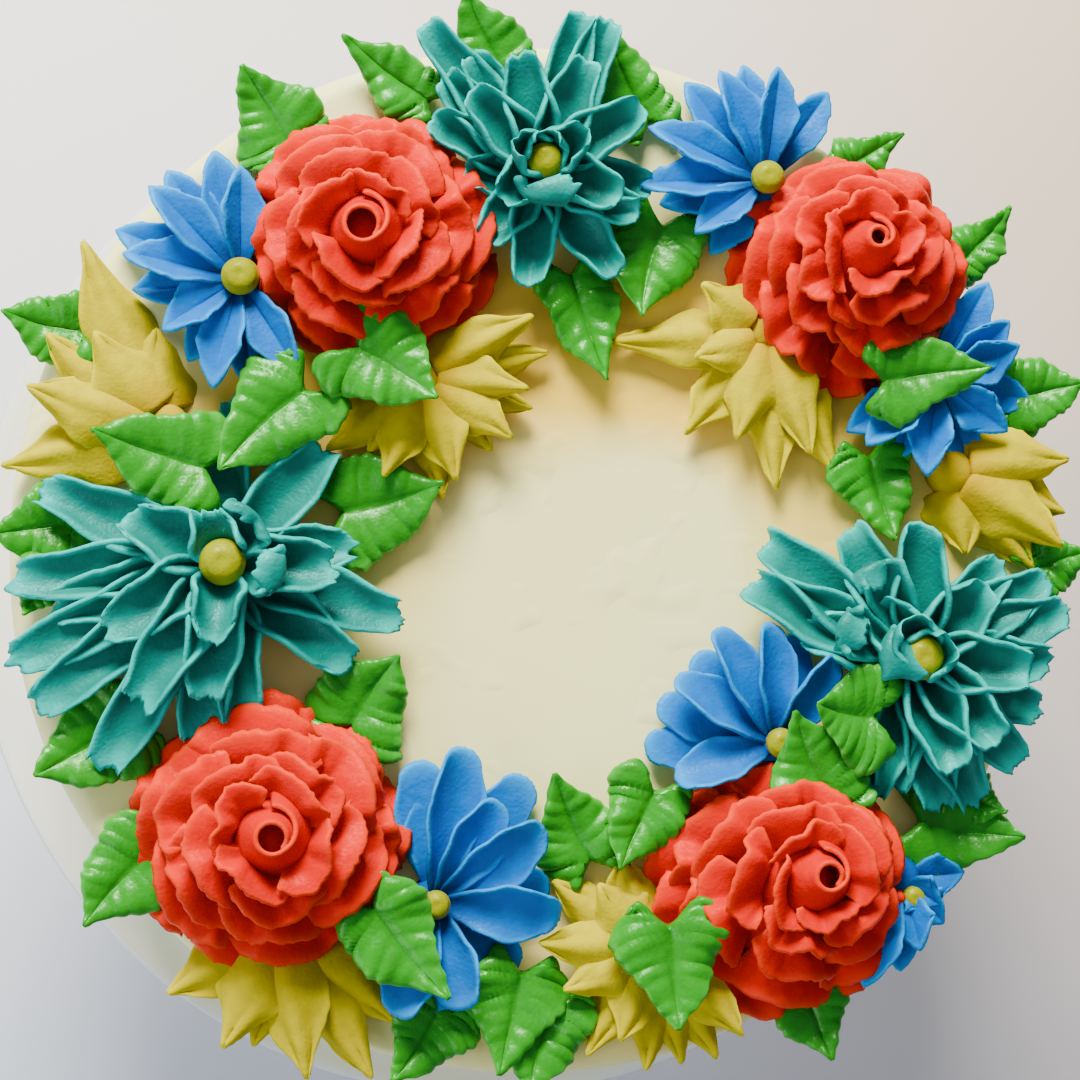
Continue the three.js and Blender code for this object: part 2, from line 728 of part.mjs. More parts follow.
function yellowSolid({ middle, halfWidth, ...places }, grown) {
  const tiers = Object.entries(YELLOW_TIERS).map(([tierName, { height, tipHeight }]) => ({
    ...YELLOW_HUB,
    height,
    rowPlaces: YELLOW_ROWS,
    thickness: YELLOW_PETAL_THICKNESS,
    petals: places[tierName].map((place) => ({
      tip: seen(place, tipHeight),
      arch: YELLOW_ARCH,
      curl: YELLOW_CURL,
      halfWidth,
      width: WIDTHS.pointed,
    })),
  }));
  const axis = seen(middle, YELLOW_TIERS.upper.height);
  const core = { coreRadius: YELLOW_CORE.radius, coreHeight: YELLOW_CORE.height };
  return tieredFlower({ axis, ...core, tiers }, grown);
}

// Dots: the small piped balls in the flowers' middles.

const DOTS = [
  { name: 'dot_teal_1', place: [545, 160], radius: 3.6, height: TEAL_DOT_HEIGHT },
  { name: 'dot_teal_2', place: [222, 562], radius: 4.5, height: TEAL_DOT_HEIGHT },
  { name: 'dot_teal_3', place: [922, 657], radius: 4.5, height: TEAL_DOT_HEIGHT },
  { name: 'dot_blue_1', place: [240, 276], radius: 3.8, height: BLUE_DOT_HEIGHT },
  { name: 'dot_blue_2', place: [768, 177], radius: 3.4, height: BLUE_DOT_HEIGHT },
  { name: 'dot_blue_4', place: [781, 743], radius: 3, height: BLUE_DOT_HEIGHT },
  { name: 'dot_blue_5', place: [436, 905], radius: 2.8, height: BLUE_DOT_HEIGHT },
];
const DOT_FLATNESS = 0.85;
const DOT_STEPS = 4;
const DOT_SEGMENTS = 8;

function dotSolid({ place, radius, height }, grown) {
  const size = radius + grown;
  const profile = [];
  for (let k = 0; k <= DOT_STEPS; k++) {
    const angle = (Math.PI * k) / DOT_STEPS;
    const outward = k === 0 || k === DOT_STEPS ? 0 : size * Math.sin(angle);
    profile.push([outward, -DOT_FLATNESS * size * Math.cos(angle)]);
  }
  return turned(profile, DOT_SEGMENTS, seen(place, height));
}

// Leaves. High ones lie on the flowers, and low ones are tucked under them. A node can be two leaves
// that were piped into each other.

const LEAF_THICKNESS = 2.6;
const LEAF_LOW = 4.6;
const LEAF_HIGH = 12;

const HIGH_LEAVES = [
  { name: 'leaf_09', leaves: [{ root: [884, 384], tip: [988, 369], halfWidth: 9.7, height: 11 }] },
  { name: 'leaf_13', leaves: [{ root: [350, 350], tip: [437, 398], halfWidth: 11.6, height: LEAF_HIGH }] },
  { name: 'leaf_14', leaves: [{ root: [306, 388], tip: [219, 472], halfWidth: 11.6, height: 11 }] },
  { name: 'leaf_15', leaves: [{ root: [208, 468], tip: [91, 430], halfWidth: 11.6, height: 11 }] },
  { name: 'leaf_24', leaves: [{ root: [372, 905], tip: [448, 998], halfWidth: 10.5, height: LEAF_HIGH }] },
  { name: 'leaf_27', leaves: [{ root: [672, 925], tip: [678, 1029], halfWidth: 12.2, height: 11 }] },
  { name: 'leaf_32', leaves: [{ root: [832, 800], tip: [793, 710], halfWidth: 10.9, height: 13 }] },
  { name: 'leaf_33', leaves: [{ root: [878, 716], tip: [814, 704], halfWidth: 12.2, height: 15 }] },
];

const LOW_LEAVES = [
  { name: 'leaf_01', leaves: [{ root: [505, 75], tip: [464, -8], halfWidth: 9.8 }] },
  { name: 'leaf_02', leaves: [{ root: [430, 100], tip: [342, 37], halfWidth: 7.7 }] },
  { name: 'leaf_03', leaves: [{ root: [290, 145], tip: [241, 68], halfWidth: 10.9 }] },
  { name: 'leaf_04', leaves: [{ root: [650, 122], tip: [602, 23], halfWidth: 8.2 }] },
  { name: 'leaf_05', leaves: [{ root: [845, 168], tip: [901, 136], halfWidth: 5.9 }] },
  { name: 'leaf_06', leaves: [{ root: [960, 262], tip: [1008, 209], halfWidth: 6.4 }] },
  { name: 'leaf_07', leaves: [{ root: [664, 222], tip: [640, 318], halfWidth: 11.9 }] },
  { name: 'leaf_08', leaves: [{ root: [571, 272], tip: [605, 382], halfWidth: 9 }] },
  { name: 'leaf_10', leaves: [{ root: [1012, 398], tip: [1082, 384], halfWidth: 9.8 }] },
  { name: 'leaf_11', leaves: [{ root: [870, 455], tip: [893, 541], halfWidth: 9.8 }] },
  { name: 'leaf_12', leaves: [{ root: [1034, 572], tip: [1086, 552], halfWidth: 8.5 }] },
  { name: 'leaf_16', leaves: [{ root: [340, 512], tip: [443, 484], halfWidth: 12.9 }] },
  { name: 'leaf_17', leaves: [{ root: [92, 324], tip: [2, 312], halfWidth: 9.7 }] },
  {
    name: 'leaf_19',
    leaves: [
      { root: [76, 522], tip: [-10, 536], halfWidth: 10.3 },
      { root: [50, 566], tip: [24, 616], halfWidth: 5.4 },
    ],
  },
  { name: 'leaf_21', leaves: [{ root: [124, 722], tip: [35, 776], halfWidth: 12.2 }] },
  { name: 'leaf_22', leaves: [{ root: [150, 852], tip: [84, 925], halfWidth: 11.1 }] },
  { name: 'leaf_23', leaves: [{ root: [350, 728], tip: [399, 655], halfWidth: 12.2 }] },
  { name: 'leaf_25', leaves: [{ root: [592, 862], tip: [554, 772], halfWidth: 10 }] },
  { name: 'leaf_26', leaves: [{ root: [656, 790], tip: [618, 869], halfWidth: 9.8, height: 7 }] },
  { name: 'leaf_28', leaves: [{ root: [522, 972], tip: [498, 1074], halfWidth: 10.8, height: 6 }] },
  { name: 'leaf_29', leaves: [{ root: [440, 1008], tip: [392, 1080], halfWidth: 9.6 }] },
  { name: 'leaf_30', leaves: [{ root: [548, 1008], tip: [528, 1092], halfWidth: 11.1 }] },
  { name: 'leaf_31', leaves: [{ root: [800, 982], tip: [829, 1059], halfWidth: 10 }] },
  {
    name: 'leaf_34',
    leaves: [
      { root: [920, 822], tip: [1022, 836], halfWidth: 11.1 },
      { root: [962, 790], tip: [1004, 812], halfWidth: 6.4, height: 5 },
    ],
  },
];

function leafSurfaces({ leaves }) {
  return leaves.map(({ root, tip, halfWidth, height = LEAF_LOW }) =>
    leafSurface({ root: seen(root, height), tip: seen(tip, height), halfWidth }),
  );
}

const LEAF_ROWS = 3;
const LEAF_COLUMNS = 4;

function leafSolid(leaf, grown) {
  const sheets = leafSurfaces(leaf).map((surface) =>
    sheet(surface, LEAF_ROWS, LEAF_COLUMNS, LEAF_THICKNESS, grown),
  );
  return wasm.Manifold.union(sheets);
}

function leafSpace(leaf, grown) {
  const spaces = leafSurfaces(leaf).map((surface) =>
    spaceAbove(surface, LEAF_ROWS, LEAF_COLUMNS, LEAF_THICKNESS, grown),
  );
  return wasm.Manifold.union(spaces);
}

// The cake and its stand

function cakeSolid(grown) {
  const round = CAKE_EDGE_ANGLES.map((angle) => {
    const radius = CAKE_RADIUS - CAKE_EDGE_ROUND * (1 - Math.cos(angle));
    return [radius + grown, CAKE_HEIGHT - CAKE_EDGE_ROUND * (1 - Math.sin(angle)) + grown];
  });
  const profile = [[0, -grown], [CAKE_RADIUS + grown, -grown], ...round];
  profile.push([0, CAKE_HEIGHT + grown]);
  return turned(profile, CAKE_SEGMENTS, new THREE.Vector3(0, 0, CAKE_BASE));
}

function standSolid() {
  const lipHeight = SEAT_HEIGHT + PLATE.lip;
  const profile = [
    [0, 0],
    [FOOT.radius, 0],
    [FOOT.radius, FOOT.edge],
    [FOOT.shoulderRadius, FOOT.shoulderHeight],
    [FOOT.neckRadius, FOOT.neckHeight],
    [STEM.waistRadius, STEM.waistHeight],
    [STEM.flareRadius, STEM.flareHeight],
    [PLATE.hubRadius, PLATE.hubHeight],
    [PLATE.flatRadius, PLATE.underHeight],
    [PLATE.radius, lipHeight - RIM.outerDrop],
    [PLATE.radius - RIM.crestInset, lipHeight],
    [PLATE.radius - RIM.innerInset, SEAT_HEIGHT],
    [0, SEAT_HEIGHT],
  ];
  return turned(profile, STAND_SEGMENTS, new THREE.Vector3(0, 0, 0));
}

// Assembly. Each piece is cut to clear the pieces that lie over it, and the cake under it.

const wreath = [
  ...HIGH_LEAVES.map((leaf) => ({
    name: leaf.name,
    colour: COLOURS.green,
    solid: leafSolid(leaf, 0),
    space: leafSpace(leaf, GAP),
  })),
  ...DOTS.map((dot) => ({
    name: dot.name,
    colour: COLOURS.dot,
    solid: dotSolid(dot, 0),
    space: dotSolid(dot, GAP),
  })),
];
const flowerKinds = [
  [TEALS, tealSolid, COLOURS.teal],
  [ROSES, roseSolid, COLOURS.coral],
  [BLUES, blueSolid, COLOURS.blue],
  [YELLOWS, yellowSolid, COLOURS.yellow],
  [LOW_LEAVES, leafSolid, COLOURS.green],
];
for (const [flowers, make, colour] of flowerKinds) {
  for (const flower of flowers) {
    wreath.push({ name: flower.name, colour, solid: make(flower, 0), space: make(flower, GAP) });
  }
}

function boxesMeet(first, second) {
  const a = first.boundingBox();
  const b = second.boundingBox();
  return [0, 1, 2].every((k) => a.min[k] < b.max[k] && b.min[k] < a.max[k]);
}

const cake = cakeSolid(0);
const cakeSpace = cakeSolid(GAP);
wreath.forEach((piece, index) => {
  let solid = piece.solid.subtract(cakeSpace);
  for (const over of wreath.slice(0, index)) {
    if (boxesMeet(solid, over.space)) solid = solid.subtract(over.space);
  }
  piece.solid = largestBody(solid);
});

function meshOf(name, solid, colour, roughness) {
  const { vertProperties, triVerts } = solid.getMesh();
  const geometry = new THREE.BufferGeometry();
  geometry.setAttribute('position', new THREE.BufferAttribute(new Float32Array(vertProperties), 3));
  geometry.setIndex(new THREE.BufferAttribute(new Uint32Array(triVerts), 1));
  const material = new THREE.MeshStandardMaterial({ color: colour, roughness, metalness: 0 });
  const mesh = new THREE.Mesh(geometry, material);
  mesh.name = name;
  return mesh;
}

const CHINA_ROUGHNESS = 0.25;
const ICING_ROUGHNESS = 0.5;

const cakeOnStand = new THREE.Group();
cakeOnStand.add(meshOf('stand', standSolid(), COLOURS.china, CHINA_ROUGHNESS));
cakeOnStand.add(meshOf('cake', cake, COLOURS.icing, ICING_ROUGHNESS));
for (const { name, solid, colour } of wreath) {
  cakeOnStand.add(meshOf(name, solid, colour, ICING_ROUGHNESS));
}

export default cakeOnStand;
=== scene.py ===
"""A round iced cake on a footed stand, with a wreath of piped flowers and leaves on the cake's top.

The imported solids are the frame. Every solid is replaced by a finer piece in the same place, made here
from named sizes in millimetres. Random draws are seeded, so each run gives the same pieces.
"""

import math

import bpy
import numpy as np
from mathutils import Matrix, Vector


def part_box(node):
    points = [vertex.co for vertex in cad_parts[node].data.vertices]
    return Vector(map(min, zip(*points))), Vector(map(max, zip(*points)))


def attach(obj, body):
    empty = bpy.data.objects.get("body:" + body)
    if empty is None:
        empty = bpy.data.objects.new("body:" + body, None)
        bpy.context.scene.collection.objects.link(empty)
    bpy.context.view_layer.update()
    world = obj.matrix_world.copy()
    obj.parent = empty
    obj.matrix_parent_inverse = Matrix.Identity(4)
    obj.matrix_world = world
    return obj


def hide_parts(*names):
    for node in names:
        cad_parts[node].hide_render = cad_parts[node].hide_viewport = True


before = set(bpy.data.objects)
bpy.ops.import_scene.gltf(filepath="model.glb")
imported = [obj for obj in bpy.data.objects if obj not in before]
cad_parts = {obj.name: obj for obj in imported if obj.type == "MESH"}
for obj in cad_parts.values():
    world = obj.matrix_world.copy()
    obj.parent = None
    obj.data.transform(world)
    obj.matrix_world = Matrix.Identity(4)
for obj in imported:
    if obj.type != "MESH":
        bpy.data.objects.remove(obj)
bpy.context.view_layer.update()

MM = 0.001

# The cake's and the stand's places, from the frame

CAKE_LOW, CAKE_HIGH = (np.array(corner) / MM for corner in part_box("cake"))
CAKE_TOP = CAKE_HIGH[2]
CAKE_BASE = CAKE_LOW[2]
CAKE_RADIUS = CAKE_HIGH[0]
STAND_TOP = np.array(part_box("stand")[1])[2] / MM

# The photograph's view. The eye and the aim are measured from the centre of the cake's top, and a place
# in the picture is (pixels across, pixels down).

PICTURE_SIZE = 1080
PICTURE_FOCAL = 2322
SENSOR_WIDTH = 36
EYE = np.array([-50.0, -35.0, 470.0])
AIM = np.array([1.2, 2.1, 0.0])
UP = np.array([0.0, 0.0, 1.0])
PAGE_UP = np.array([0.0, 1.0, 0.0])
LEVEL = np.array([1.0, 1.0, 0.0])
TINY = 1e-12


def unit(vectors):
    """The same vectors, each of length one."""
    return vectors / (np.linalg.norm(vectors, axis=-1, keepdims=True) + TINY)


FORWARD = unit(AIM - EYE)
RIGHTWARD = unit(np.cross(FORWARD, PAGE_UP))
UPWARD = np.cross(RIGHTWARD, FORWARD)


def seen(place, height):
    """The point at a height over the cake's top that shows at this place in the picture."""
    across, down = place
    ray = FORWARD * PICTURE_FOCAL
    ray = ray + RIGHTWARD * (across - PICTURE_SIZE / 2) + UPWARD * (PICTURE_SIZE / 2 - down)
    point = EYE + ray * (height - EYE[2]) / ray[2]
    return point + UP * CAKE_TOP


def make_camera():
    data = bpy.data.cameras.new("camera")
    data.sensor_width = SENSOR_WIDTH
    data.lens = SENSOR_WIDTH * PICTURE_FOCAL / PICTURE_SIZE
    data.clip_start = 0.01
    data.clip_end = 10
    camera = bpy.data.objects.new("camera", data)
    bpy.context.scene.collection.objects.link(camera)
    camera.location = (EYE + UP * CAKE_TOP) * MM
    camera.rotation_mode = "QUATERNION"
    camera.rotation_quaternion = Matrix([RIGHTWARD, UPWARD, -FORWARD]).transposed().to_quaternion()
    bpy.context.scene.camera = camera


# Meshes


class Shells:
    """Closed shells that are collected in millimetres and joined into one mesh.

    Each point also carries two shares for its material: how near a rim it is, which sets a painted highlight,
    and how deep it lies, which sets a painted shade.
    """

    def __init__(self):
        self.points = []
        self.quads = []
        self.rim_highlights = []
        self.painted_shades = []
        self.count = 0

    def add(self, points, quads, rim_highlights, painted_shades):
        self.points.append(points.reshape(-1, 3))
        self.quads.append(quads.reshape(-1, 4) + self.count)
        self.rim_highlights.append(np.broadcast_to(rim_highlights, points.shape[:-1]).ravel())
        self.painted_shades.append(np.broadcast_to(painted_shades, points.shape[:-1]).ravel())
        self.count += len(self.points[-1])

    def sheet(self, middle, half, rim, depth):
        """A sheet whose two faces lie half its thickness to each side of the middle and meet at its rim."""
        # Rim and depth are shares at each point: rim sets a painted highlight, depth a painted shade.
        rows, columns = middle.shape[:2]
        normal = unit(np.cross(np.gradient(middle, axis=0), np.gradient(middle, axis=1)))
        inner = (slice(1, -1), slice(1, -1))
        upper = middle.copy()
        upper[inner] += normal[inner] * half[inner][..., None]
        lower = (middle - normal * half[..., None])[inner]
        top = np.arange(rows * columns).reshape(rows, columns)
        bottom = top.copy()
        bottom[inner] = rows * columns + np.arange((rows - 2) * (columns - 2)).reshape(rows - 2, columns - 2)
        quads = np.concatenate([grid_quads(top), grid_quads(bottom)[:, ::-1]])
        points = np.concatenate([upper.reshape(-1, 3), lower.reshape(-1, 3)])
        both = lambda values: np.concatenate([values.ravel(), values[inner].ravel()])
        self.add(points, quads, both(rim), both(depth))

    def ring(self, rows, depth=0.0):
        """A skin of rings, closed round, with a cap across its first ring and across its last."""
        # Depth is the share of painted shade over the whole skin.
        count, columns = rows.shape[:2]
        index = np.arange(count * columns).reshape(count, columns)
        around = np.concatenate([index, index[:, :1]], axis=1)
        skin = grid_quads(around)[:, ::-1]
        quads = np.concatenate([skin, self.cap(index[0])[:, ::-1], self.cap(index[-1])])
        self.add(rows, quads, 0.0, depth)

    @staticmethod
    def cap(row):
        """Quads across a ring with an even number of corners."""
        half = len(row) // 2
        left, right = row[:half], row[half:][::-1]
        return np.array([[left[k], left[k + 1], right[k + 1], right[k]] for k in range(half - 1)])

    def build(self, name, material):
        mesh = bpy.data.meshes.new(name)
        points = np.concatenate(self.points) * MM
        quads = np.concatenate(self.quads)
        mesh.vertices.add(len(points))
        mesh.vertices.foreach_set("co", points.astype(np.float32).ravel())
        mesh.loops.add(quads.size)
        mesh.loops.foreach_set("vertex_index", quads.astype(np.int32).ravel())
        mesh.polygons.add(len(quads))
        mesh.polygons.foreach_set("loop_start", np.arange(0, quads.size, 4, dtype=np.int32))
        mesh.update(calc_edges=True)
        mesh.polygons.foreach_set("use_smooth", np.ones(len(quads), dtype=bool))
        for label, values in (("rim", self.rim_highlights), ("painted_shade", self.painted_shades)):
            layer = mesh.attributes.new(label, "FLOAT", "POINT")
            layer.data.foreach_set("value", np.concatenate(values).astype(np.float32))
        mesh.materials.append(material)
        piece = bpy.data.objects.new(name, mesh)
        bpy.context.scene.collection.objects.link(piece)
        return piece


def grid_quads(index):
    """The quads between the neighbours in a grid of point numbers."""
    corners = [index[:-1, :-1], index[1:, :-1], index[1:, 1:], index[:-1, 1:]]
    return np.stack([corner.ravel() for corner in corners], axis=1)


def finish_piece(shells, name, node, slot):
    """The shells as a piece that rides on the object, in the material that its slot is named after."""
    piece = shells.build(name, MATERIALS[slot])
    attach(piece, "root")
    if node:
        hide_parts(node)
    return piece


# Materials


def linear(colour):
    """A colour from its 0 to 255 screen values as the linear values that shaders take."""
    shares = [value / 255 for value in colour]
    values = [share / 12.92 if share <= 0.04045 else ((share + 0.055) / 1.055) ** 2.4 for share in shares]
    return values + [1.0]


class Nodes:
    """Short calls for making and joining shader nodes."""

    def __init__(self, name):
        self.material = bpy.data.materials.new(name)
        self.material.use_nodes = True
        self.tree = self.material.node_tree
        self.shader = self.tree.nodes["Principled BSDF"]
        self.place = self.make("ShaderNodeTexCoord").outputs["Object"]

    def make(self, kind, **settings):
        node = self.tree.nodes.new(kind)
        for key, value in settings.items():
            setattr(node, key, value)
        return node

    def join(self, start, end):
        self.tree.links.new(start, end)

    def noise(self, scale, detail):
        """Noise with about this many bumps to the metre."""
        node = self.make("ShaderNodeTexNoise")
        node.inputs["Scale"].default_value = scale
        node.inputs["Detail"].default_value = detail
        self.join(self.place, node.inputs["Vector"])
        return node.outputs["Fac"]

    def ramp(self, value, low, high, start=0.0, end=1.0):
        """The value's range from low to high spread over start to end."""
        node = self.make("ShaderNodeMapRange")
        for label, number in (("From Min", low), ("From Max", high), ("To Min", start), ("To Max", end)):
            node.inputs[label].default_value = number
        self.join(value, node.inputs["Value"])
        return node.outputs["Result"]

    def combine(self, operation, first, second):
        node = self.make("ShaderNodeMath", operation=operation)
        self.join(first, node.inputs[0])
        self.join(second, node.inputs[1])
        return node.outputs["Value"]

    def mix(self, share, first, second):
        """A mix of two colours, each a list of values or a socket."""
        node = self.make("ShaderNodeMix", data_type="RGBA")
        self.join(share, node.inputs["Factor"])
        for label, value in ((6, first), (7, second)):
            if isinstance(value, list):
                node.inputs[label].default_value = value
            else:
                self.join(value, node.inputs[label])
        return node.outputs[2]

    def attribute(self, name):
        return self.make("ShaderNodeAttribute", attribute_name=name).outputs["Fac"]

    def axes(self):
        """The place's own X, Y and Z."""
        node = self.make("ShaderNodeSeparateXYZ")
        self.join(self.place, node.inputs["Vector"])
        return node.outputs

    def bump(self, heights):
        """Bumps from (height, depth in millimetres) pairs, one on another."""
        normal = None
        for height, depth in heights:
            node = self.make("ShaderNodeBump")
            node.inputs["Distance"].default_value = depth * MM
            self.join(height, node.inputs["Height"])
            if normal:
                self.join(normal, node.inputs["Normal"])
            normal = node.outputs["Normal"]
        self.join(normal, self.shader.inputs["Normal"])


# Patches, lumps and grains are noise scales, in bumps to the metre, and depths are in millimetres.

ICING_PATCHES = 330
PATCH_SHADE = 0.94
ICING_LUMPS = 300
ICING_LUMP_DEPTH = 0.2
ICING_GRAINS = 1300


def icing(name, colour, rim, painted_shade, roughness=0.42, gloss=0.3, grain=0.1, gloss_tint=0.65):
    """Piped icing: a painted highlight makes its rims lighter, painted shade makes its depths darker, and it
    has a fine grain.

    The grain is its depth in millimetres, and the gloss tint is the share of the icing's colour in its gloss.
    """
    nodes = Nodes(name)
    shader = nodes.shader
    uneven = nodes.noise(ICING_PATCHES, 1)
    darker = [value * PATCH_SHADE for value in colour]
    base = nodes.mix(nodes.ramp(uneven, 0.35, 0.65), linear(colour), linear(darker))
    # Painted highlight: the rims are lightened, broken up by the uneven patches.
    highlight_share = nodes.ramp(nodes.attribute("rim"), 0.35, 0.95, 0.0, 0.9)
    highlight_share = nodes.combine("MULTIPLY", highlight_share, nodes.ramp(uneven, 0.3, 0.7, 0.7, 1.0))
    base = nodes.mix(highlight_share, base, linear(rim))
    # Painted shade darkens the icing where it lies deep.
    base = nodes.mix(nodes.ramp(nodes.attribute("painted_shade"), 0.0, 1.0, 0.0, 0.9), base, linear(painted_shade))
    nodes.join(base, shader.inputs["Base Color"])
    grains = nodes.noise(ICING_GRAINS, 1)
    nodes.join(nodes.ramp(grains, 0.3, 0.7, roughness - 0.1, roughness + 0.12), shader.inputs["Roughness"])
    shader.inputs["Specular IOR Level"].default_value = gloss
    light = [1 - gloss_tint * (1 - value / max(colour)) for value in colour]
    shader.inputs["Specular Tint"].default_value = light + [1.0]
    nodes.bump([(nodes.noise(ICING_LUMPS, 2), ICING_LUMP_DEPTH), (grains, grain)])
    return nodes.material


# Each icing has its own colour, a lighter rim colour for the painted highlight on its rims, and a darker
# colour for the painted shade in its depths.
ICINGS = {
    "coral_icing": {
        "colour": (217, 15, 0), "rim": (238, 62, 18), "painted_shade": (184, 8, 0),
        "gloss": 0.2, "gloss_tint": 0.8},
    "teal_icing": {
        "colour": (0, 120, 108), "rim": (10, 192, 178), "painted_shade": (0, 60, 62),
        "grain": 0.12},
    "blue_icing": {
        "colour": (0, 106, 192), "rim": (14, 154, 228), "painted_shade": (0, 36, 106),
        "gloss": 0.18},
    "yellow_icing": {
        "colour": (194, 178, 0), "rim": (212, 200, 2), "painted_shade": (180, 144, 0),
        "roughness": 0.6, "gloss": 0.04},
    "dot_icing": {
        "colour": (144, 148, 0), "rim": (158, 162, 4), "painted_shade": (114, 108, 0),
        "roughness": 0.34, "gloss": 0.2},
    "green_icing": {
        "colour": (36, 140, 22), "rim": (70, 172, 48), "painted_shade": (18, 80, 8),
        "roughness": 0.32, "gloss": 0.5, "grain": 0.07},
}

# The warm painted shade on the cake's top, a brown shadow painted round the inside of the wreath, is a band
# round an unshaded middle, weaker at the front. Its places are in millimetres, and SHADE_MOST and
# SHADE_AT_FRONT are shares.
# SHADE_WANDERS and the icing's smears, waves, lumps and grains are noise scales.

IVORY = (250, 247, 168)
WARM_SHADE = (248, 204, 48)
UNSHADED_MIDDLE = (10, -19)
SHADE_STARTS = (30, 48)
SHADE_ENDS = (80, 98)
SHADE_MOST = 0.95
SHADE_WANDERS = 24
SHADE_WANDER = 8
SHADE_FRONT = -30
SHADE_BACK = 30
SHADE_AT_FRONT = 0.4
CAKE_SMEARS = 150
CAKE_WAVES = 45
CAKE_WAVE_DEPTH = 0.3
CAKE_LUMPS = 95
CAKE_LUMP_DEPTH = 0.25
CAKE_GRAINS = 900
CAKE_GRAIN_DEPTH = 0.015


def cake_icing():
    """Smooth icing, with a warm painted shade round the inside of the wreath."""
    nodes = Nodes("ivory_icing")
    flat = nodes.make("ShaderNodeMapping")
    flat.inputs["Location"].default_value = (-UNSHADED_MIDDLE[0] * MM, -UNSHADED_MIDDLE[1] * MM, 0)
    flat.inputs["Scale"].default_value = (1, 1, 0)
    nodes.join(nodes.place, flat.inputs["Vector"])
    across = nodes.make("ShaderNodeVectorMath", operation="LENGTH")
    nodes.join(flat.outputs["Vector"], across.inputs[0])
    wander = nodes.ramp(nodes.noise(SHADE_WANDERS, 1), 0.3, 0.7, -SHADE_WANDER * MM, SHADE_WANDER * MM)
    reach = nodes.combine("ADD", across.outputs["Value"], wander)
    axes = nodes.axes()
    # Painted shade: a warm brown shadow round the inside of the wreath, stronger at the back.
    warm_shade_share = nodes.ramp(reach, SHADE_STARTS[0] * MM, SHADE_STARTS[1] * MM)
    for share in (
            nodes.ramp(reach, SHADE_ENDS[0] * MM, SHADE_ENDS[1] * MM, SHADE_MOST, 0.0),
            nodes.ramp(axes["Z"], (CAKE_TOP - 4) * MM, (CAKE_TOP - 1) * MM),
            nodes.ramp(axes["Y"], SHADE_FRONT * MM, SHADE_BACK * MM, SHADE_AT_FRONT, 1.0)):
        warm_shade_share = nodes.combine("MULTIPLY", warm_shade_share, share)
    nodes.join(nodes.mix(warm_shade_share, linear(IVORY), linear(WARM_SHADE)), nodes.shader.inputs["Base Color"])
    smears = nodes.noise(CAKE_SMEARS, 2)
    nodes.join(nodes.ramp(smears, 0.3, 0.7, 0.44, 0.58), nodes.shader.inputs["Roughness"])
    waves = nodes.noise(CAKE_WAVES, 2)
    lumps = nodes.ramp(nodes.noise(CAKE_LUMPS, 1), 0.6, 0.75)
    grains = nodes.noise(CAKE_GRAINS, 1)
    nodes.bump([(waves, CAKE_WAVE_DEPTH), (lumps, CAKE_LUMP_DEPTH), (grains, CAKE_GRAIN_DEPTH)])
    return nodes.material


CHINA_WHITE = (243, 243, 241)
CHINA_COOL = (236, 237, 237)
CHINA_PATCHES = 40
CHINA_SMEARS = 300
CHINA_WAVES = 120
CHINA_WAVE_DEPTH = 0.05


def china():
    """Glazed white china with a faint uneven tint."""
    nodes = Nodes("china")
    tint = nodes.ramp(nodes.noise(CHINA_PATCHES, 2), 0.35, 0.65)
    base = nodes.mix(tint, linear(CHINA_WHITE), linear(CHINA_COOL))
    nodes.join(base, nodes.shader.inputs["Base Color"])
    smears = nodes.noise(CHINA_SMEARS, 2)
    nodes.join(nodes.ramp(smears, 0.3, 0.7, 0.12, 0.2), nodes.shader.inputs["Roughness"])
    nodes.shader.inputs["Coat Weight"].default_value = 0.6
    nodes.shader.inputs["Coat Roughness"].default_value = 0.05
    nodes.bump([(nodes.noise(CHINA_WAVES, 2), CHINA_WAVE_DEPTH)])
    return nodes.material


# The floor's colours are painted light and shade, with a cool tint at the front left and a warm one at the
# back right.
PAINTED_LIGHT_REACH = 0.2
PAINTED_LIGHT_FRONT = ((214, 226, 244), (176, 174, 184))
PAINTED_LIGHT_BACK = ((255, 255, 252), (236, 214, 184))


def backdrop():
    """Painted light and shade on the floor, from near white at the back left to grey at the front right."""
    nodes = Nodes("floor_painted_light")
    axes = nodes.axes()
    rightward = nodes.ramp(axes["X"], -PAINTED_LIGHT_REACH, PAINTED_LIGHT_REACH)
    backward = nodes.ramp(axes["Y"], -PAINTED_LIGHT_REACH, PAINTED_LIGHT_REACH)
    front, back = (
        nodes.mix(rightward, linear(left), linear(right)) for left, right in (PAINTED_LIGHT_FRONT, PAINTED_LIGHT_BACK))
    nodes.join(nodes.mix(backward, front, back), nodes.shader.inputs["Base Color"])
    nodes.shader.inputs["Roughness"].default_value = 0.6
    return nodes.material


MATERIALS = {name: icing(name, **look) for name, look in ICINGS.items()}
MATERIALS["ivory_icing"] = cake_icing()
MATERIALS["china"] = china()
MATERIALS["floor"] = backdrop()

# Curves that the shapes share


def spread_out(count, ease):
    """Places from 0 to 1. The greater the ease, the closer they lie at both ends."""
    even = np.linspace(0, 1, count + 1)
    eased = 0.5 - 0.5 * np.cos(np.pi * even)
    return ease * eased + (1 - ease) * even


def turns_round(count):
    """Angles spread evenly round a circle."""
    return np.linspace(0, 2 * np.pi, count + 1)[:-1]


def broken(rng, knots, size):
    """A broken line over 0 to 1 through random heights."""
    heights = rng.uniform(-size, size, knots)
    return lambda place: np.interp(place, np.linspace(0, 1, knots), heights)


def smooth_step(low, high, value):
    """A smooth rise from 0 to 1 as the value goes from low to high."""
    share = np.clip((value - low) / (high - low), 0, 1)
    return share * share * (3 - 2 * share)


def round_start(value, width):
    """A rise from 0 to 1 over the first width, steep at first."""
    return np.sqrt(np.clip(value / width, 0, 1))


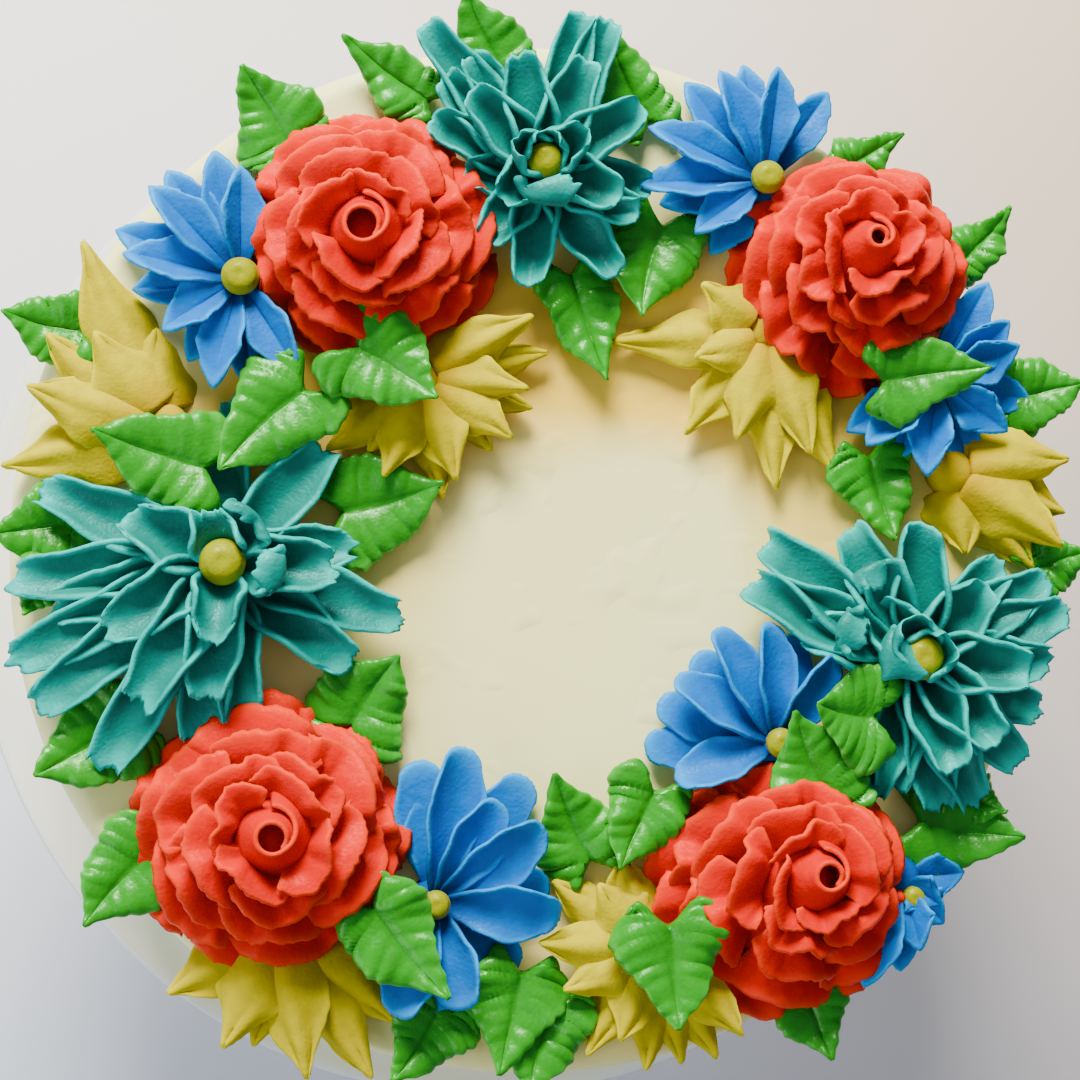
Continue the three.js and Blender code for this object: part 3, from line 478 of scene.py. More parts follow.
def round_end(share, width):
    """A fall from 1 to 0 along a quarter circle over the last width before 1."""
    inside = np.clip((share - 1 + width) / width, 0, 1)
    return np.sqrt(1 - inside**2)


def half_thickness(share, body, rim, width):
    """Half the thickness at a share of the way to the rim, rounded over the rim's own width."""
    return 0.5 * (rim + (body - rim) * (1 - share**2)) * round_end(share, width)


# Petals. Along a petal t runs from 0 at its root to 1 at its tip, and across it s runs from -1 to 1.

PETAL = {
    "roll": 0, "ruffle": 0, "ruffles": 2.5, "waves": 2, "crease": 0, "cup": 0, "tent": 0, "tear": 0,
    "round": 0, "point": 0, "thin": 0.35,
}
LEAST_CURL = 0.05
END_STARTS = 0.35
SIDE_SWAY = 0.7
CREASE_WIDTH = 0.16
TENT_ROUNDING = 0.004
TEAR_KNOTS = 7
SMALL_TEAR_KNOTS = 23
SMALL_TEAR = 0.35
SIDE_TEETH_KNOTS = 34
END_TEETH_KNOTS = 37
ROOT_ROUND = 0.04


def blunt(t):
    """How wide a teal petal is along its length, as a share of its half width."""
    return 0.45 + 0.6 * np.sin(np.pi * t**0.8) + 0.3 * t


def fan(t):
    """How wide a blue petal is along its length, as a share of its half width."""
    return 0.28 + 0.72 * np.sin(0.5 * np.pi * np.clip(t / 0.72, 0, 1)) ** 1.2 - 0.3 * smooth_step(0.72, 1, t)


def pointed(t):
    """How wide a yellow petal is along its length, as a share of its half width."""
    return 0.03 + 1.3 * (1 - t**1.5) ** 1.15 * (0.62 + 0.85 * t)


def petal_section(rng, t, s, width, style):
    """How far the points lie beside and above the centre line: the curl, the waves and the folds."""
    start, end = style["curl"]
    curl = start + (end - start) * t
    radius = width / np.sin(np.clip(np.abs(curl), LEAST_CURL, np.pi / 2))
    sideways = radius * np.sin(s * curl)
    lift = radius * (1 - np.cos(s * curl)) * np.sign(curl)

    phase = rng.uniform(0, 2 * np.pi)
    side_phases = rng.uniform(0, 2 * np.pi, 2)
    side = np.where(s > 0, side_phases[0], side_phases[1])
    growth = smooth_step(0.15, 1.0, t)
    lift = lift + style["ruffle"] * growth * np.sin(np.pi * style["ruffles"] * s + phase)
    wander = style["wave"] * np.abs(s) ** 3 * np.sin(np.pi * t) ** 0.5
    lift = lift + wander * np.sin(2 * np.pi * style["waves"] * t + side)
    sway = np.cos(2 * np.pi * 1.3 * style["waves"] * t + side)
    sideways = sideways + SIDE_SWAY * wander * sway * np.sign(s)
    crease = style["crease"] * np.exp(-np.abs(s) / CREASE_WIDTH)
    lift = lift - crease * np.sin(np.pi * np.clip(t * 1.05, 0, 1))
    lift = lift + style["cup"] * t**7
    lift = lift - style["tent"] * width * np.sqrt(s**2 + TENT_ROUNDING)
    return sideways, lift


def petal_end(rng, t, s, half_width, style):
    """How far the points are moved along the petal: its torn, rounded or pointed end."""
    place = (s + 1) / 2
    tear = style["tear"]
    skew = rng.uniform(-1, 1)
    reach = broken(rng, TEAR_KNOTS, tear)(place) + broken(rng, SMALL_TEAR_KNOTS, SMALL_TEAR * tear)(place)
    reach = reach + tear * skew * s * 0.5
    reach = reach - style["round"] * (1 - np.sqrt(1 - 0.97 * s**2)) * half_width
    reach = reach - style["point"] * np.abs(s) ** 1.3 * half_width
    return reach * smooth_step(END_STARTS, 1.0, t)


def petal(shells, rng, root, over, tip, half_width, style):
    """One petal on a bent centre line from root to tip, drawn towards the point over.

    In its style, curl is how far its sides turn up at its root and at its tip, and roll how far it leans
    to one side, both in radians. Ruffles and waves run across and along it, tent lifts its middle and
    crease sinks it. Tear, round and point shape its end, and serration is the size of its rim's teeth.
    """
    rows, columns = style["grid"]
    t = spread_out(rows, 0.5)[:, None]
    s = (2 * spread_out(columns, 0.75) - 1)[None, :]
    line = (1 - t) ** 2 * root + 2 * t * (1 - t) * over + t**2 * tip
    tangent = unit(2 * (1 - t) * (over - root) + 2 * t * (tip - over))
    flat = np.cross(UP, unit((over - root) * LEVEL))
    lean = style["roll"] * (0.3 + 0.7 * t)
    across = flat * np.cos(lean) + UP * np.sin(lean)
    normal = unit(np.cross(tangent, across))
    width = half_width * style["outline"](t)

    sideways, lift = petal_section(rng, t, s, width, style)
    ahead = petal_end(rng, t, s, half_width, style)
    side_teeth = broken(rng, SIDE_TEETH_KNOTS, style["serration"])(t) * np.abs(s) ** 6
    end_teeth = broken(rng, END_TEETH_KNOTS, style["serration"])((s + 1) / 2) * t**8
    sideways = sideways + side_teeth * np.sign(s)
    ahead = ahead + end_teeth
    middle = line[:, None, :] + tangent[:, None, :] * ahead[..., None]
    middle = middle + across[:, None, :] * sideways[..., None] + normal[:, None, :] * lift[..., None]

    rim_width = np.clip(0.6 * style["rim"] / np.maximum(width, 0.5), 0.05, 0.5)
    half = half_thickness(np.abs(s), style["body"], style["rim"], rim_width) * (1 - style["thin"] * t)
    half = half * round_end(t, style["rim"] / np.linalg.norm(tip - root)) * round_start(t, ROOT_ROUND)
    # The rim share sets a painted highlight along the petal's sides and tip.
    rim = np.maximum(np.abs(s) ** 4, t**6)
    # Painted shade: darker near the petal's root, in the flower's middle.
    painted_shade = style["painted_shade"] * (1 - smooth_step(0.0, 0.5, t)) * np.ones_like(s)
    shells.sheet(middle, half, rim, painted_shade)


def on_hub(centre, target, radius):
    """The point on the hub round a centre that faces the target."""
    return centre + unit((target - centre) * LEVEL) * radius


def grow(shells, rng, axis, tier, place, hub_radius, half_width, style):
    """One petal of a tier, from the hub round a flower's axis to a place in the picture."""
    centre = axis * LEVEL + UP * (CAKE_TOP + tier["height"])
    tip = seen(place, tier["tip_height"])
    over = (centre + tip) / 2 + UP * 2 * tier["arch"]
    root = on_hub(centre, over, hub_radius)
    curl = [tier["curl"] * turn for turn in style["curl"]]
    style = {**style, "curl": curl, "roll": tier["curl"] * style["roll"]}
    petal(shells, rng, root, over, tip, half_width, style)


CORE_SIDES = 32
CORE_RINGS = 9
CORE_SINK = 0.5


def core(shells, axis, radius, height, top_share):
    """A rounded core that the petals grow from, sunk a little into the cake's top."""
    angles = turns_round(CORE_SIDES)
    rows = []
    for share in np.linspace(0, 1, CORE_RINGS):
        turn = share * np.pi / 2
        reach = radius * (top_share + (1 - top_share) * math.cos(turn)) * (1 - 0.75 * share**4)
        level = -CORE_SINK + (height + CORE_SINK) * math.sin(turn)
        ring = [reach * np.cos(angles), reach * np.sin(angles), np.full_like(angles, level)]
        rows.append(np.stack(ring, axis=1))
    # The core is darkened with painted shade.
    shells.ring(np.array(rows) + [axis[0], axis[1], CAKE_TOP], depth=0.6)


# Teal daisies

TEAL_TIERS = {
    "outer": {"height": 4.0, "tip_height": 6.5, "arch": 1.0, "share": 1.0, "curl": 0.8},
    "tucked": {"height": 3.5, "tip_height": 4.0, "arch": 0.5, "share": 0.8, "curl": 1.0},
    "middle": {"height": 8.0, "tip_height": 12.5, "arch": 1.0, "share": 1.0, "curl": 0.95},
    "inner": {"height": 11.5, "tip_height": 18.0, "arch": 0.5, "share": 0.85, "curl": 1.05},
}
TEAL_STYLE = {
    **PETAL, "outline": blunt, "curl": (2.0, 1.2), "body": 1.3, "rim": 2.1, "tear": 1.5, "serration": 0.2,
    "wave": 1.1, "waves": 1.3, "round": 0.3, "painted_shade": 0.8, "grid": (24, 22),
}
TEAL_CUP_STYLE = {**TEAL_STYLE, "curl": (2.0, 1.55), "tear": 0.5, "round": 0.6, "cup": 3.2, "wave": 0.8}
TEAL_TUCKED_STYLE = {**TEAL_STYLE, "curl": (0.7, 0.5)}
TEAL_HOOD_STYLE = {**TEAL_STYLE, "curl": (1.3, 0.9), "tear": 1.0, "painted_shade": 0.2}
TEAL_DOT_HEIGHT = 16
TEAL_HUB_RADIUS = 3
TEAL_CORE = {"radius": 6.2, "height": 14.0, "top_share": 0.7}
HOOD_ROOT_HEIGHT = 10
HOOD_TOP_HEIGHT = 20
HOOD_TIP_HEIGHT = 19
HOOD_SHARE = 0.9

# The places are where the petals' tips show. A hood is a petal that bends back over the flower's middle,
# and it has first the place of its bend and then that of its tip.

TEALS = {
    "teal_flower_1": {
        "dot": (545, 160), "half_width": 4.0, "style": TEAL_CUP_STYLE, "upper_style": TEAL_CUP_STYLE,
        "outer": [
            (424, 30), (441, 82), (431, 124), (466, 180), (484, 245), (526, 288), (614, 278),
            (636, 218), (648, 190), (581, 18), (608, 26), (470, 60)],
        "middle": [(468, 96), (516, 58), (586, 64), (641, 112), (620, 202), (500, 205)],
        "inner": [(592, 130), (506, 142), (546, 124)],
        "hoods": [((515, 222), (572, 178))],
    },
    "teal_flower_2": {
        "dot": (222, 562), "half_width": 4.7, "style": TEAL_STYLE, "upper_style": TEAL_STYLE,
        "outer": [
            (42, 487), (10, 578), (48, 611), (9, 664), (34, 709), (102, 768), (198, 742), (242, 726),
            (350, 664), (400, 618), (327, 446), (352, 545)],
        "tucked": [(236, 396)],
        "middle": [(126, 515), (106, 630), (136, 704), (207, 702), (334, 566)],
        "inner": [(212, 643), (206, 505)],
        "hoods": [((275, 500), (232, 512)), ((318, 585), (256, 562))],
    },
    "teal_flower_3": {
        "dot": (922, 657), "half_width": 4.7, "style": TEAL_STYLE, "upper_style": TEAL_CUP_STYLE,
        "outer": [
            (762, 540), (748, 585), (800, 628), (846, 528), (1003, 562), (1044, 580), (1067, 610),
            (1050, 664), (1039, 712), (1019, 765), (977, 808), (938, 806), (888, 790), (865, 800)],
        "middle": [(916, 524), (984, 586), (1028, 672), (994, 745), (950, 772), (868, 606)],
        "inner": [(900, 612), (958, 640)],
        "hoods": [((852, 640), (928, 668)), ((796, 610), (868, 636)), ((862, 518), (876, 592))],
    },
}


def teal_flower(name, places, seed):
    rng = np.random.default_rng(seed)
    shells = Shells()
    axis = seen(places["dot"], TEAL_DOT_HEIGHT)
    core(shells, axis, **TEAL_CORE)
    upper = places["upper_style"]
    styles = {"outer": places["style"], "tucked": TEAL_TUCKED_STYLE, "middle": upper, "inner": upper}
    for tier_name, tier in TEAL_TIERS.items():
        half_width = places["half_width"] * tier["share"]
        for place in places.get(tier_name, []):
            grow(shells, rng, axis, tier, place, TEAL_HUB_RADIUS, half_width, styles[tier_name])
    centre = axis * LEVEL + UP * (CAKE_TOP + HOOD_ROOT_HEIGHT)
    for over_place, tip_place in places["hoods"]:
        over = seen(over_place, HOOD_TOP_HEIGHT)
        tip = seen(tip_place, HOOD_TIP_HEIGHT)
        root = on_hub(centre, over, TEAL_HUB_RADIUS)
        petal(shells, rng, root, over, tip, places["half_width"] * HOOD_SHARE, TEAL_HOOD_STYLE)
    return finish_piece(shells, name + "_icing", name, "teal_icing")


# Blue fans. Their petals lie in the lower tier and the upper one by turns.

BLUE_TIERS = [
    {"height": 2.6, "tip_height": 3.0, "arch": 0.6, "curl": 0.25},
    {"height": 6.2, "tip_height": 9.5, "arch": 0.6, "curl": 1.0},
]
BLUE_STYLE = {
    **PETAL, "outline": fan, "curl": (1.3, 0.75), "roll": 0.5, "body": 2.0, "rim": 0.9, "round": 0.6,
    "serration": 0.16, "wave": 0.3, "painted_shade": 0.9, "grid": (22, 22),
}
BLUE_PLEAT_STYLE = {
    **BLUE_STYLE, "curl": (0.8, 0.3), "round": 0.2, "point": 0.8, "tent": -0.42, "crease": 0.4, "roll": 0.45}
BLUE_TURNED_STYLE = {**BLUE_STYLE, "roll": 0.72}
BLUE_DOT_HEIGHT = 10
BLUE_HUB_RADIUS = 2.4
BLUE_CORE = {"radius": 5.0, "height": 8.0, "top_share": 0.6}

BLUES = {
    "blue_flower_1": {
        "dot": (240, 276), "style": BLUE_PLEAT_STYLE, "half_width": 4.9,
        "tips": [
            (214, 150), (240, 165), (166, 170), (148, 186), (115, 230), (122, 254), (132, 290), (162, 332),
            (188, 362), (213, 389), (252, 389), (298, 372)],
    },
    "blue_flower_2": {
        "dot": (768, 177), "style": BLUE_PLEAT_STYLE, "half_width": 4.7,
        "tips": [
            (828, 92), (778, 66), (743, 65), (719, 70), (684, 82), (648, 127), (672, 140), (640, 186),
            (659, 205), (695, 234), (710, 255)],
    },
    "blue_flower_3": {
        "dot": (940, 378), "style": BLUE_PLEAT_STYLE, "half_width": 4.9,
        "tips": [
            (988, 282), (1020, 345), (1031, 401), (1008, 432), (974, 467), (927, 477), (895, 460), (866, 446),
            (846, 432), (1010, 320)],
    },
    "blue_flower_4": {
        "dot": (781, 743), "style": BLUE_TURNED_STYLE, "half_width": 5.3,
        "tips": [
            (644, 748), (676, 782), (657, 704), (674, 680), (694, 655), (714, 629), (745, 652), (767, 622),
            (795, 634), (836, 656)],
    },
    "blue_flower_5": {
        "dot": (436, 905), "style": BLUE_STYLE, "half_width": 6.2,
        "tips": [
            (418, 760), (462, 746), (432, 790), (498, 800), (528, 778), (544, 826), (550, 886), (562, 912),
            (517, 970), (466, 1010), (434, 1016), (398, 1018)],
    },
    "blue_flower_6": {
        "dot": (905, 880), "style": BLUE_PLEAT_STYLE, "half_width": 4.8,
        "tips": [(965, 872), (942, 905), (944, 924), (921, 952), (900, 972), (864, 988)],
    },
}


def blue_flower(name, places, seed):
    rng = np.random.default_rng(seed)
    shells = Shells()
    axis = seen(places["dot"], BLUE_DOT_HEIGHT)
    core(shells, axis, **BLUE_CORE)
    for index, place in enumerate(places["tips"]):
        tier = BLUE_TIERS[index % 2]
        grow(shells, rng, axis, tier, place, BLUE_HUB_RADIUS, places["half_width"], places["style"])
    return finish_piece(shells, name + "_icing", name, "blue_icing")


# Yellow flowers

YELLOW_TIERS = {
    "lower": {"height": 3.0, "tip_height": 3.4, "arch": 1.0, "curl": 1.0},
    "upper": {"height": 6.0, "tip_height": 7.4, "arch": 1.0, "curl": 1.0},
}
YELLOW_STYLE = {
    **PETAL, "outline": pointed, "curl": (-0.4, -0.15), "body": 2.6, "rim": 0.8, "serration": 0.26,
    "tent": 0.38, "crease": -0.35, "wave": 0.8, "waves": 1.6, "ruffle": 0.6, "ruffles": 2.2, "roll": 0.3,
    "painted_shade": 0.9, "thin": 0.6, "grid": (24, 24),
}
YELLOW_HUB_RADIUS = 3
YELLOW_CORE = {"radius": 5.0, "height": 6.6, "top_share": 0.6}

YELLOWS = {
    "yellow_flower_1": {
        "middle": (164, 424), "half_width": 8.7,
        "lower": [(82, 241), (46, 334), (2, 466), (156, 329)],
        "upper": [(94, 332), (27, 386)],
    },
    "yellow_flower_2": {
        "middle": (422, 378), "half_width": 6.3,
        "lower": [(548, 352), (532, 408), (492, 450), (442, 499), (369, 452), (327, 450)],
        "upper": [(533, 315), (528, 388), (513, 438), (456, 480), (384, 476)],
    },
    "yellow_flower_3": {
        "middle": (766, 330), "half_width": 6.9,
        "lower": [(613, 342), (685, 434), (776, 490), (836, 473)],
        "upper": [(702, 284), (695, 358), (736, 439), (811, 454)],
    },
    "yellow_flower_4": {
        "middle": (956, 470), "half_width": 8.0,
        "lower": [(1003, 436), (1064, 512), (1033, 568), (966, 554)],
        "upper": [(1068, 459), (1062, 546)],
    },
    "yellow_flower_5": {
        "middle": (652, 945), "half_width": 6.9,
        "lower": [(587, 1055), (646, 1070), (682, 1063), (717, 1058), (553, 881), (618, 852)],
        "upper": [(539, 943), (564, 990), (620, 1041), (743, 1035), (598, 884)],
    },
    "yellow_flower_6": {
        "middle": (275, 928), "half_width": 8.2,
        "lower": [(168, 994), (254, 1046), (372, 1078), (396, 1022)],
        "upper": [(223, 1048), (307, 1079)],
    },
}


def yellow_flower(name, places, seed):
    rng = np.random.default_rng(seed)
    shells = Shells()
    axis = seen(places["middle"], YELLOW_TIERS["upper"]["height"])
    core(shells, axis, **YELLOW_CORE)
    for tier_name, tier in YELLOW_TIERS.items():
        for place in places[tier_name]:
            grow(shells, rng, axis, tier, place, YELLOW_HUB_RADIUS, places["half_width"], YELLOW_STYLE)
    return finish_piece(shells, name + "_icing", name, "yellow_icing")


# Roses. Edge and root are (radius, height) pairs, and the radii are those of a rose with the usual reach.

ROSE_REACH = 25
ROSE_HEIGHT = 26
ROSE_MIDDLE_HEIGHT = 9
ROSE_RINGS = [
    {"petals": 7, "edge": (24.6, 5.5), "root": (9.0, 1.0), "spread": 0.56, "droop": 1.8, "folds": 1.5},
    {"petals": 6, "edge": (23.0, 10.5), "root": (9.0, 4.0), "spread": 0.64, "droop": 1.4, "folds": 1.6},
    {"petals": 6, "edge": (19.4, 15.5), "root": (8.0, 7.5), "spread": 0.66, "droop": 0.9, "folds": 1.4},
    {"petals": 5, "edge": (15.0, 20.0), "root": (6.5, 11.5), "spread": 0.78, "droop": 0.5, "folds": 1.3},
    {"petals": 4, "edge": (10.6, 23.4), "root": (5.4, 14.5), "spread": 0.95, "droop": 0.2, "folds": 1.0},
]
ROSES = {
    "rose_1": {"middle": (370, 236), "bud": (362, 222), "reach": 26.8, "turn": 0.2, "hole": 2.8},
    "rose_2": {"middle": (852, 268), "bud": (880, 235), "reach": 25.0, "turn": 0.9, "hole": 1.5},
    "rose_3": {"middle": (271, 836), "bud": (272, 838), "reach": 28.0, "turn": 1.7, "hole": 2.3},
    "rose_4": {"middle": (788, 884), "bud": (832, 876), "reach": 26.5, "turn": 2.6, "hole": 2.1},
}
ROSE_GRID = (16, 36)
ROSE_BODY = 1.9
ROSE_RIM = 1.0
ROSE_SCALLOP = 3.0
ROSE_LOBE = 2.0
ROSE_TEAR_KNOTS = 41
ROSE_TEAR = 0.34
ROSE_CORE_SIDES = 48
ROSE_CORE = ((13, 0.2), (15, 3), (13.5, 7), (10, 12), (6, 16), (4.2, 18), (2.4, 20), (1.0, 20.6))
BUD_GRID = (18, 90)
BUD_TURNS = 1.4
BUD_FOOT_HEIGHT = 17
BUD_FOOT_RADIUS = 6.4
BUD_RISE = 8.2
BUD_OPENING = 2.4
BUD_HALF_THICKNESS = 0.55


def sheet_grid(grid, ease_along, ease_across):
    """The places along and across a sheet, each from 0 to 1, as two full grids."""
    rows, columns = grid
    along = spread_out(rows, ease_along)[:, None] * np.ones((1, columns + 1))
    across = spread_out(columns, ease_across)[None, :] * np.ones((rows + 1, 1))
    return along, across


def rose_flower(name, places, seed):
    rng = np.random.default_rng(seed)
    shells = Shells()
    low = seen(places["middle"], ROSE_MIDDLE_HEIGHT)
    high = seen(places["bud"], ROSE_HEIGHT)
    lean = (high - low) / (ROSE_HEIGHT - ROSE_MIDDLE_HEIGHT)
    scale = places["reach"] / ROSE_REACH

    def at(radius, angle, height):
        """The points at these radii, angles and heights round the rose's leaning axis."""
        outward = np.stack([np.cos(angle), np.sin(angle), 0 * angle], -1)
        points = low + lean * (height - ROSE_MIDDLE_HEIGHT)[..., None]
        points = points + outward * (radius * scale)[..., None]
        points[..., 2] = CAKE_TOP + height
        return points

    for ring_index, ring in enumerate(ROSE_RINGS):
        for petal_index in range(ring["petals"]):
            middle_angle = places["turn"] + ring_index + 2 * np.pi * petal_index / ring["petals"]
            rose_petal(shells, rng, at, ring, middle_angle)
    rose_core(shells, at)
    rose_bud(shells, at, places["hole"])
    return finish_piece(shells, name + "_icing", name, "coral_icing")


def rose_petal(shells, rng, at, ring, middle_angle):
    """One ruffled petal of a ring, with folds that stand square to its slope and a torn edge."""
    t, s = sheet_grid(ROSE_GRID, 0.6, 0.6)
    s = 2 * s - 1
    middle_angle += rng.uniform(-0.08, 0.08)
    edge_radius = ring["edge"][0] + rng.uniform(-0.9, 0.9)
    edge_height = ring["edge"][1] + rng.uniform(-0.7, 0.7)
    root_radius, root_height = ring["root"]
    share = 0.3 + 0.7 * edge_radius / ROSE_REACH
    scallop = ROSE_SCALLOP * share * np.abs(s) ** 2.6
    radius = root_radius + (edge_radius - scallop - root_radius) * t**1.4
    rise = edge_height - 0.8 * scallop - root_height
    height = root_height + rise * (1 - (1 - t) ** 1.7)

    folds = ring["folds"] * rng.uniform(0.8, 1.25)
    fold_phase = rng.uniform(0, 2 * np.pi)
    turns = np.pi * folds * (s + 0.12 * np.sin(4 * s + fold_phase)) + fold_phase
    fold = np.arcsin(0.93 * np.sin(turns)) + 0.2 * np.sin(2.7 * turns)
    size = (1.2 + 0.7 * share) * smooth_step(0.15, 1.0, t) * fold
    slope = np.arctan2(rise, edge_radius - root_radius)
    lobes = np.abs(np.sin(turns / 2 + 0.7)) - 0.6
    radius = radius - size * np.sin(slope) + 1.2 * share * s + ROSE_LOBE * share * lobes * t**4
    height = height + size * np.cos(slope) - ring["droop"] * smooth_step(0.7, 1.0, t) - 0.9 * share * s
    radius = radius + broken(rng, ROSE_TEAR_KNOTS, ROSE_TEAR)((s + 1) / 2) * t**8
    angle = middle_angle + ring["spread"] * s * (0.6 + 0.4 * t)

    half = half_thickness(np.abs(s), ROSE_BODY, ROSE_RIM, 0.12) * (1 - 0.35 * t)
    half = half * round_end(t, 0.06) * round_start(t, ROOT_ROUND)
    # The rim share sets a painted highlight along the petal's sides and edge.
    rim = np.maximum(np.abs(s) ** 6, t**7)
    # Painted shade: darker towards the petal's root.
    painted_shade = 1 - smooth_step(0.3, 0.85, t)
    shells.sheet(at(radius, angle, height), half, rim, painted_shade)


def rose_core(shells, at):
    """The core under the petals."""
    angles = turns_round(ROSE_CORE_SIDES)
    rows = []
    for radius, height in ROSE_CORE:
        rows.append(at(np.full_like(angles, radius), angles, np.full_like(angles, height)))
    # The core is darkened with painted shade.
    shells.ring(np.array(rows), depth=0.7)


def rose_bud(shells, at, hole):
    """The rolled bud: a sheet round a hole, whose last stretch opens outward and lies lower."""
    t, s = sheet_grid(BUD_GRID, 0.5, 0.2)
    angle = 2 * np.pi * BUD_TURNS * s - 0.9
    opening = BUD_OPENING * smooth_step(0.7, 1.0, s)
    rim_radius = hole + 0.6 * s + opening
    radius = rim_radius + (BUD_FOOT_RADIUS - hole) * (1 - t) ** 1.15
    height = BUD_FOOT_HEIGHT + (BUD_RISE + 0.8 * smooth_step(0, 0.15, s) - opening) * t
    half = BUD_HALF_THICKNESS * round_start(1 - t, 0.05) * round_start(s, 0.02)
    half = half * round_start(1 - s, 0.02) * round_start(t, ROOT_ROUND)
    # The bud's top edge gets the painted highlight, and painted shade darkens it towards its foot.
    shells.sheet(at(radius, angle, height), half, t**10, 0.6 * (1 - t))


# Dots

DOTS = {
    "dot_teal_1": {"place": (545, 160), "radius": 3.6, "height": TEAL_DOT_HEIGHT},
    "dot_teal_2": {"place": (222, 562), "radius": 4.5, "height": TEAL_DOT_HEIGHT},
    "dot_teal_3": {"place": (922, 657), "radius": 4.5, "height": TEAL_DOT_HEIGHT},
    "dot_blue_1": {"place": (240, 276), "radius": 3.8, "height": BLUE_DOT_HEIGHT},
    "dot_blue_2": {"place": (768, 177), "radius": 3.4, "height": BLUE_DOT_HEIGHT},
    "dot_blue_4": {"place": (781, 743), "radius": 3.0, "height": BLUE_DOT_HEIGHT},
    "dot_blue_5": {"place": (436, 905), "radius": 2.8, "height": BLUE_DOT_HEIGHT},
    "dot_blue_6": {"place": (914, 898), "radius": 2.4, "height": 8.0},
}
DOT_FLATNESS = 0.85
DOT_SIDES = 40
DOT_RINGS = 29
DOT_SWIRL = 0.035
DOT_DIMPLE = 0.16


def dot(name, place, radius, height):
    """A flattened ball with a faint swirl and a dimple on top. The last dot has no solid to replace."""
    shells = Shells()
    turns = turns_round(DOT_SIDES)[None, :]
    polar = np.pi * (0.015 + 0.97 * np.linspace(0, 1, DOT_RINGS))[:, None]
    swirl = DOT_SWIRL * radius * np.sin(turns + 9 * polar) * np.sin(polar) ** 2 * (polar > 0.2)
    dimple = DOT_DIMPLE * radius * np.exp(-((np.pi - polar) / 0.34) ** 2)
    size = radius + swirl - dimple
    points = np.stack([
        size * np.sin(polar) * np.cos(turns),
        size * np.sin(polar) * np.sin(turns),
        -DOT_FLATNESS * size * np.cos(polar) + 0 * turns], axis=-1)
    shells.ring(points + seen(place, height))
    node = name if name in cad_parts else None
    return finish_piece(shells, name + "_icing", node, "dot_icing")


# Leaves. A blade is its root's place, its tip's place, half its width and its height over the cake's top.

LEAF_LOW = 4.6
LEAF_STYLE = {
    "valley": 2.2, "droop": 1.5, "tip_lift": 2.5, "lobe": 0.42, "thickness": 2.6, "rim": 1.5, "ribs": 5,
    "fan": 17, "rib_depth": 0.42, "fold_depth": 0.9, "wander": 1.5, "vein": 0.3,
}

LEAVES = {
    "leaf_09": [((884, 380), (988, 369), 9.7, 13.5)],
    "leaf_13": [((356, 344), (437, 400), 12.2, 14.5)],
    "leaf_14": [((306, 388), (219, 472), 11.6, 11)],
    "leaf_15": [((208, 468), (91, 430), 11.6, 11)],
    "leaf_24": [((372, 905), (448, 998), 10.5, 14)],
    "leaf_27": [((670, 925), (678, 1029), 12.2, 14.5)],
    "leaf_32": [((832, 800), (793, 710), 10.9, 13)],
    "leaf_33": [((878, 716), (814, 704), 12.2, 15)],
    "leaf_01": [((505, 75), (464, -8), 9.8, LEAF_LOW)],
    "leaf_02": [((430, 100), (342, 37), 7.7, LEAF_LOW)],
    "leaf_03": [((290, 145), (241, 68), 10.9, LEAF_LOW)],
    "leaf_04": [((650, 122), (602, 23), 8.2, LEAF_LOW)],
    "leaf_05": [((845, 168), (901, 136), 5.9, LEAF_LOW)],
    "leaf_06": [((960, 262), (1008, 209), 6.4, LEAF_LOW)],
    "leaf_07": [((664, 222), (640, 318), 11.9, LEAF_LOW)],
    "leaf_08": [((571, 272), (605, 382), 9.0, LEAF_LOW)],
    "leaf_10": [((1012, 398), (1082, 384), 9.8, LEAF_LOW)],
    "leaf_11": [((870, 455), (893, 541), 9.8, LEAF_LOW)],
    "leaf_12": [((1034, 572), (1086, 552), 8.5, 3.4)],
    "leaf_16": [((340, 512), (443, 484), 12.9, LEAF_LOW)],
    "leaf_17": [((84, 330), (2, 312), 9.0, 3.0)],
    "leaf_19": [((76, 522), (-10, 536), 10.3, LEAF_LOW), ((50, 566), (24, 616), 5.4, LEAF_LOW)],
    "leaf_21": [((124, 722), (35, 776), 12.2, LEAF_LOW)],
    "leaf_22": [((150, 852), (84, 925), 11.1, LEAF_LOW)],
    "leaf_23": [((350, 728), (399, 655), 12.2, LEAF_LOW)],
    "leaf_25": [((592, 862), (554, 772), 10.0, LEAF_LOW)],
    "leaf_26": [((656, 790), (618, 869), 9.8, 7)],
    "leaf_28": [((522, 972), (498, 1074), 10.8, 6)],
    "leaf_29": [((440, 1008), (392, 1080), 9.6, LEAF_LOW)],
    "leaf_30": [((548, 1008), (528, 1092), 11.1, LEAF_LOW)],
    "leaf_31": [((800, 982), (829, 1059), 10.0, LEAF_LOW)],
    "leaf_34": [((920, 822), (1022, 836), 11.1, LEAF_LOW), ((962, 790), (1004, 812), 6.4, 5)],
}
LEAF_GRID = (60, 24)


def heart(t):
    """How wide a leaf is along its length, as a share of its half width."""
    return 0.03 + 1.04 * (1 - t) ** 1.25 * (0.86 + 1.45 * t) * (0.72 + 0.28 * smooth_step(0, 0.22, t))


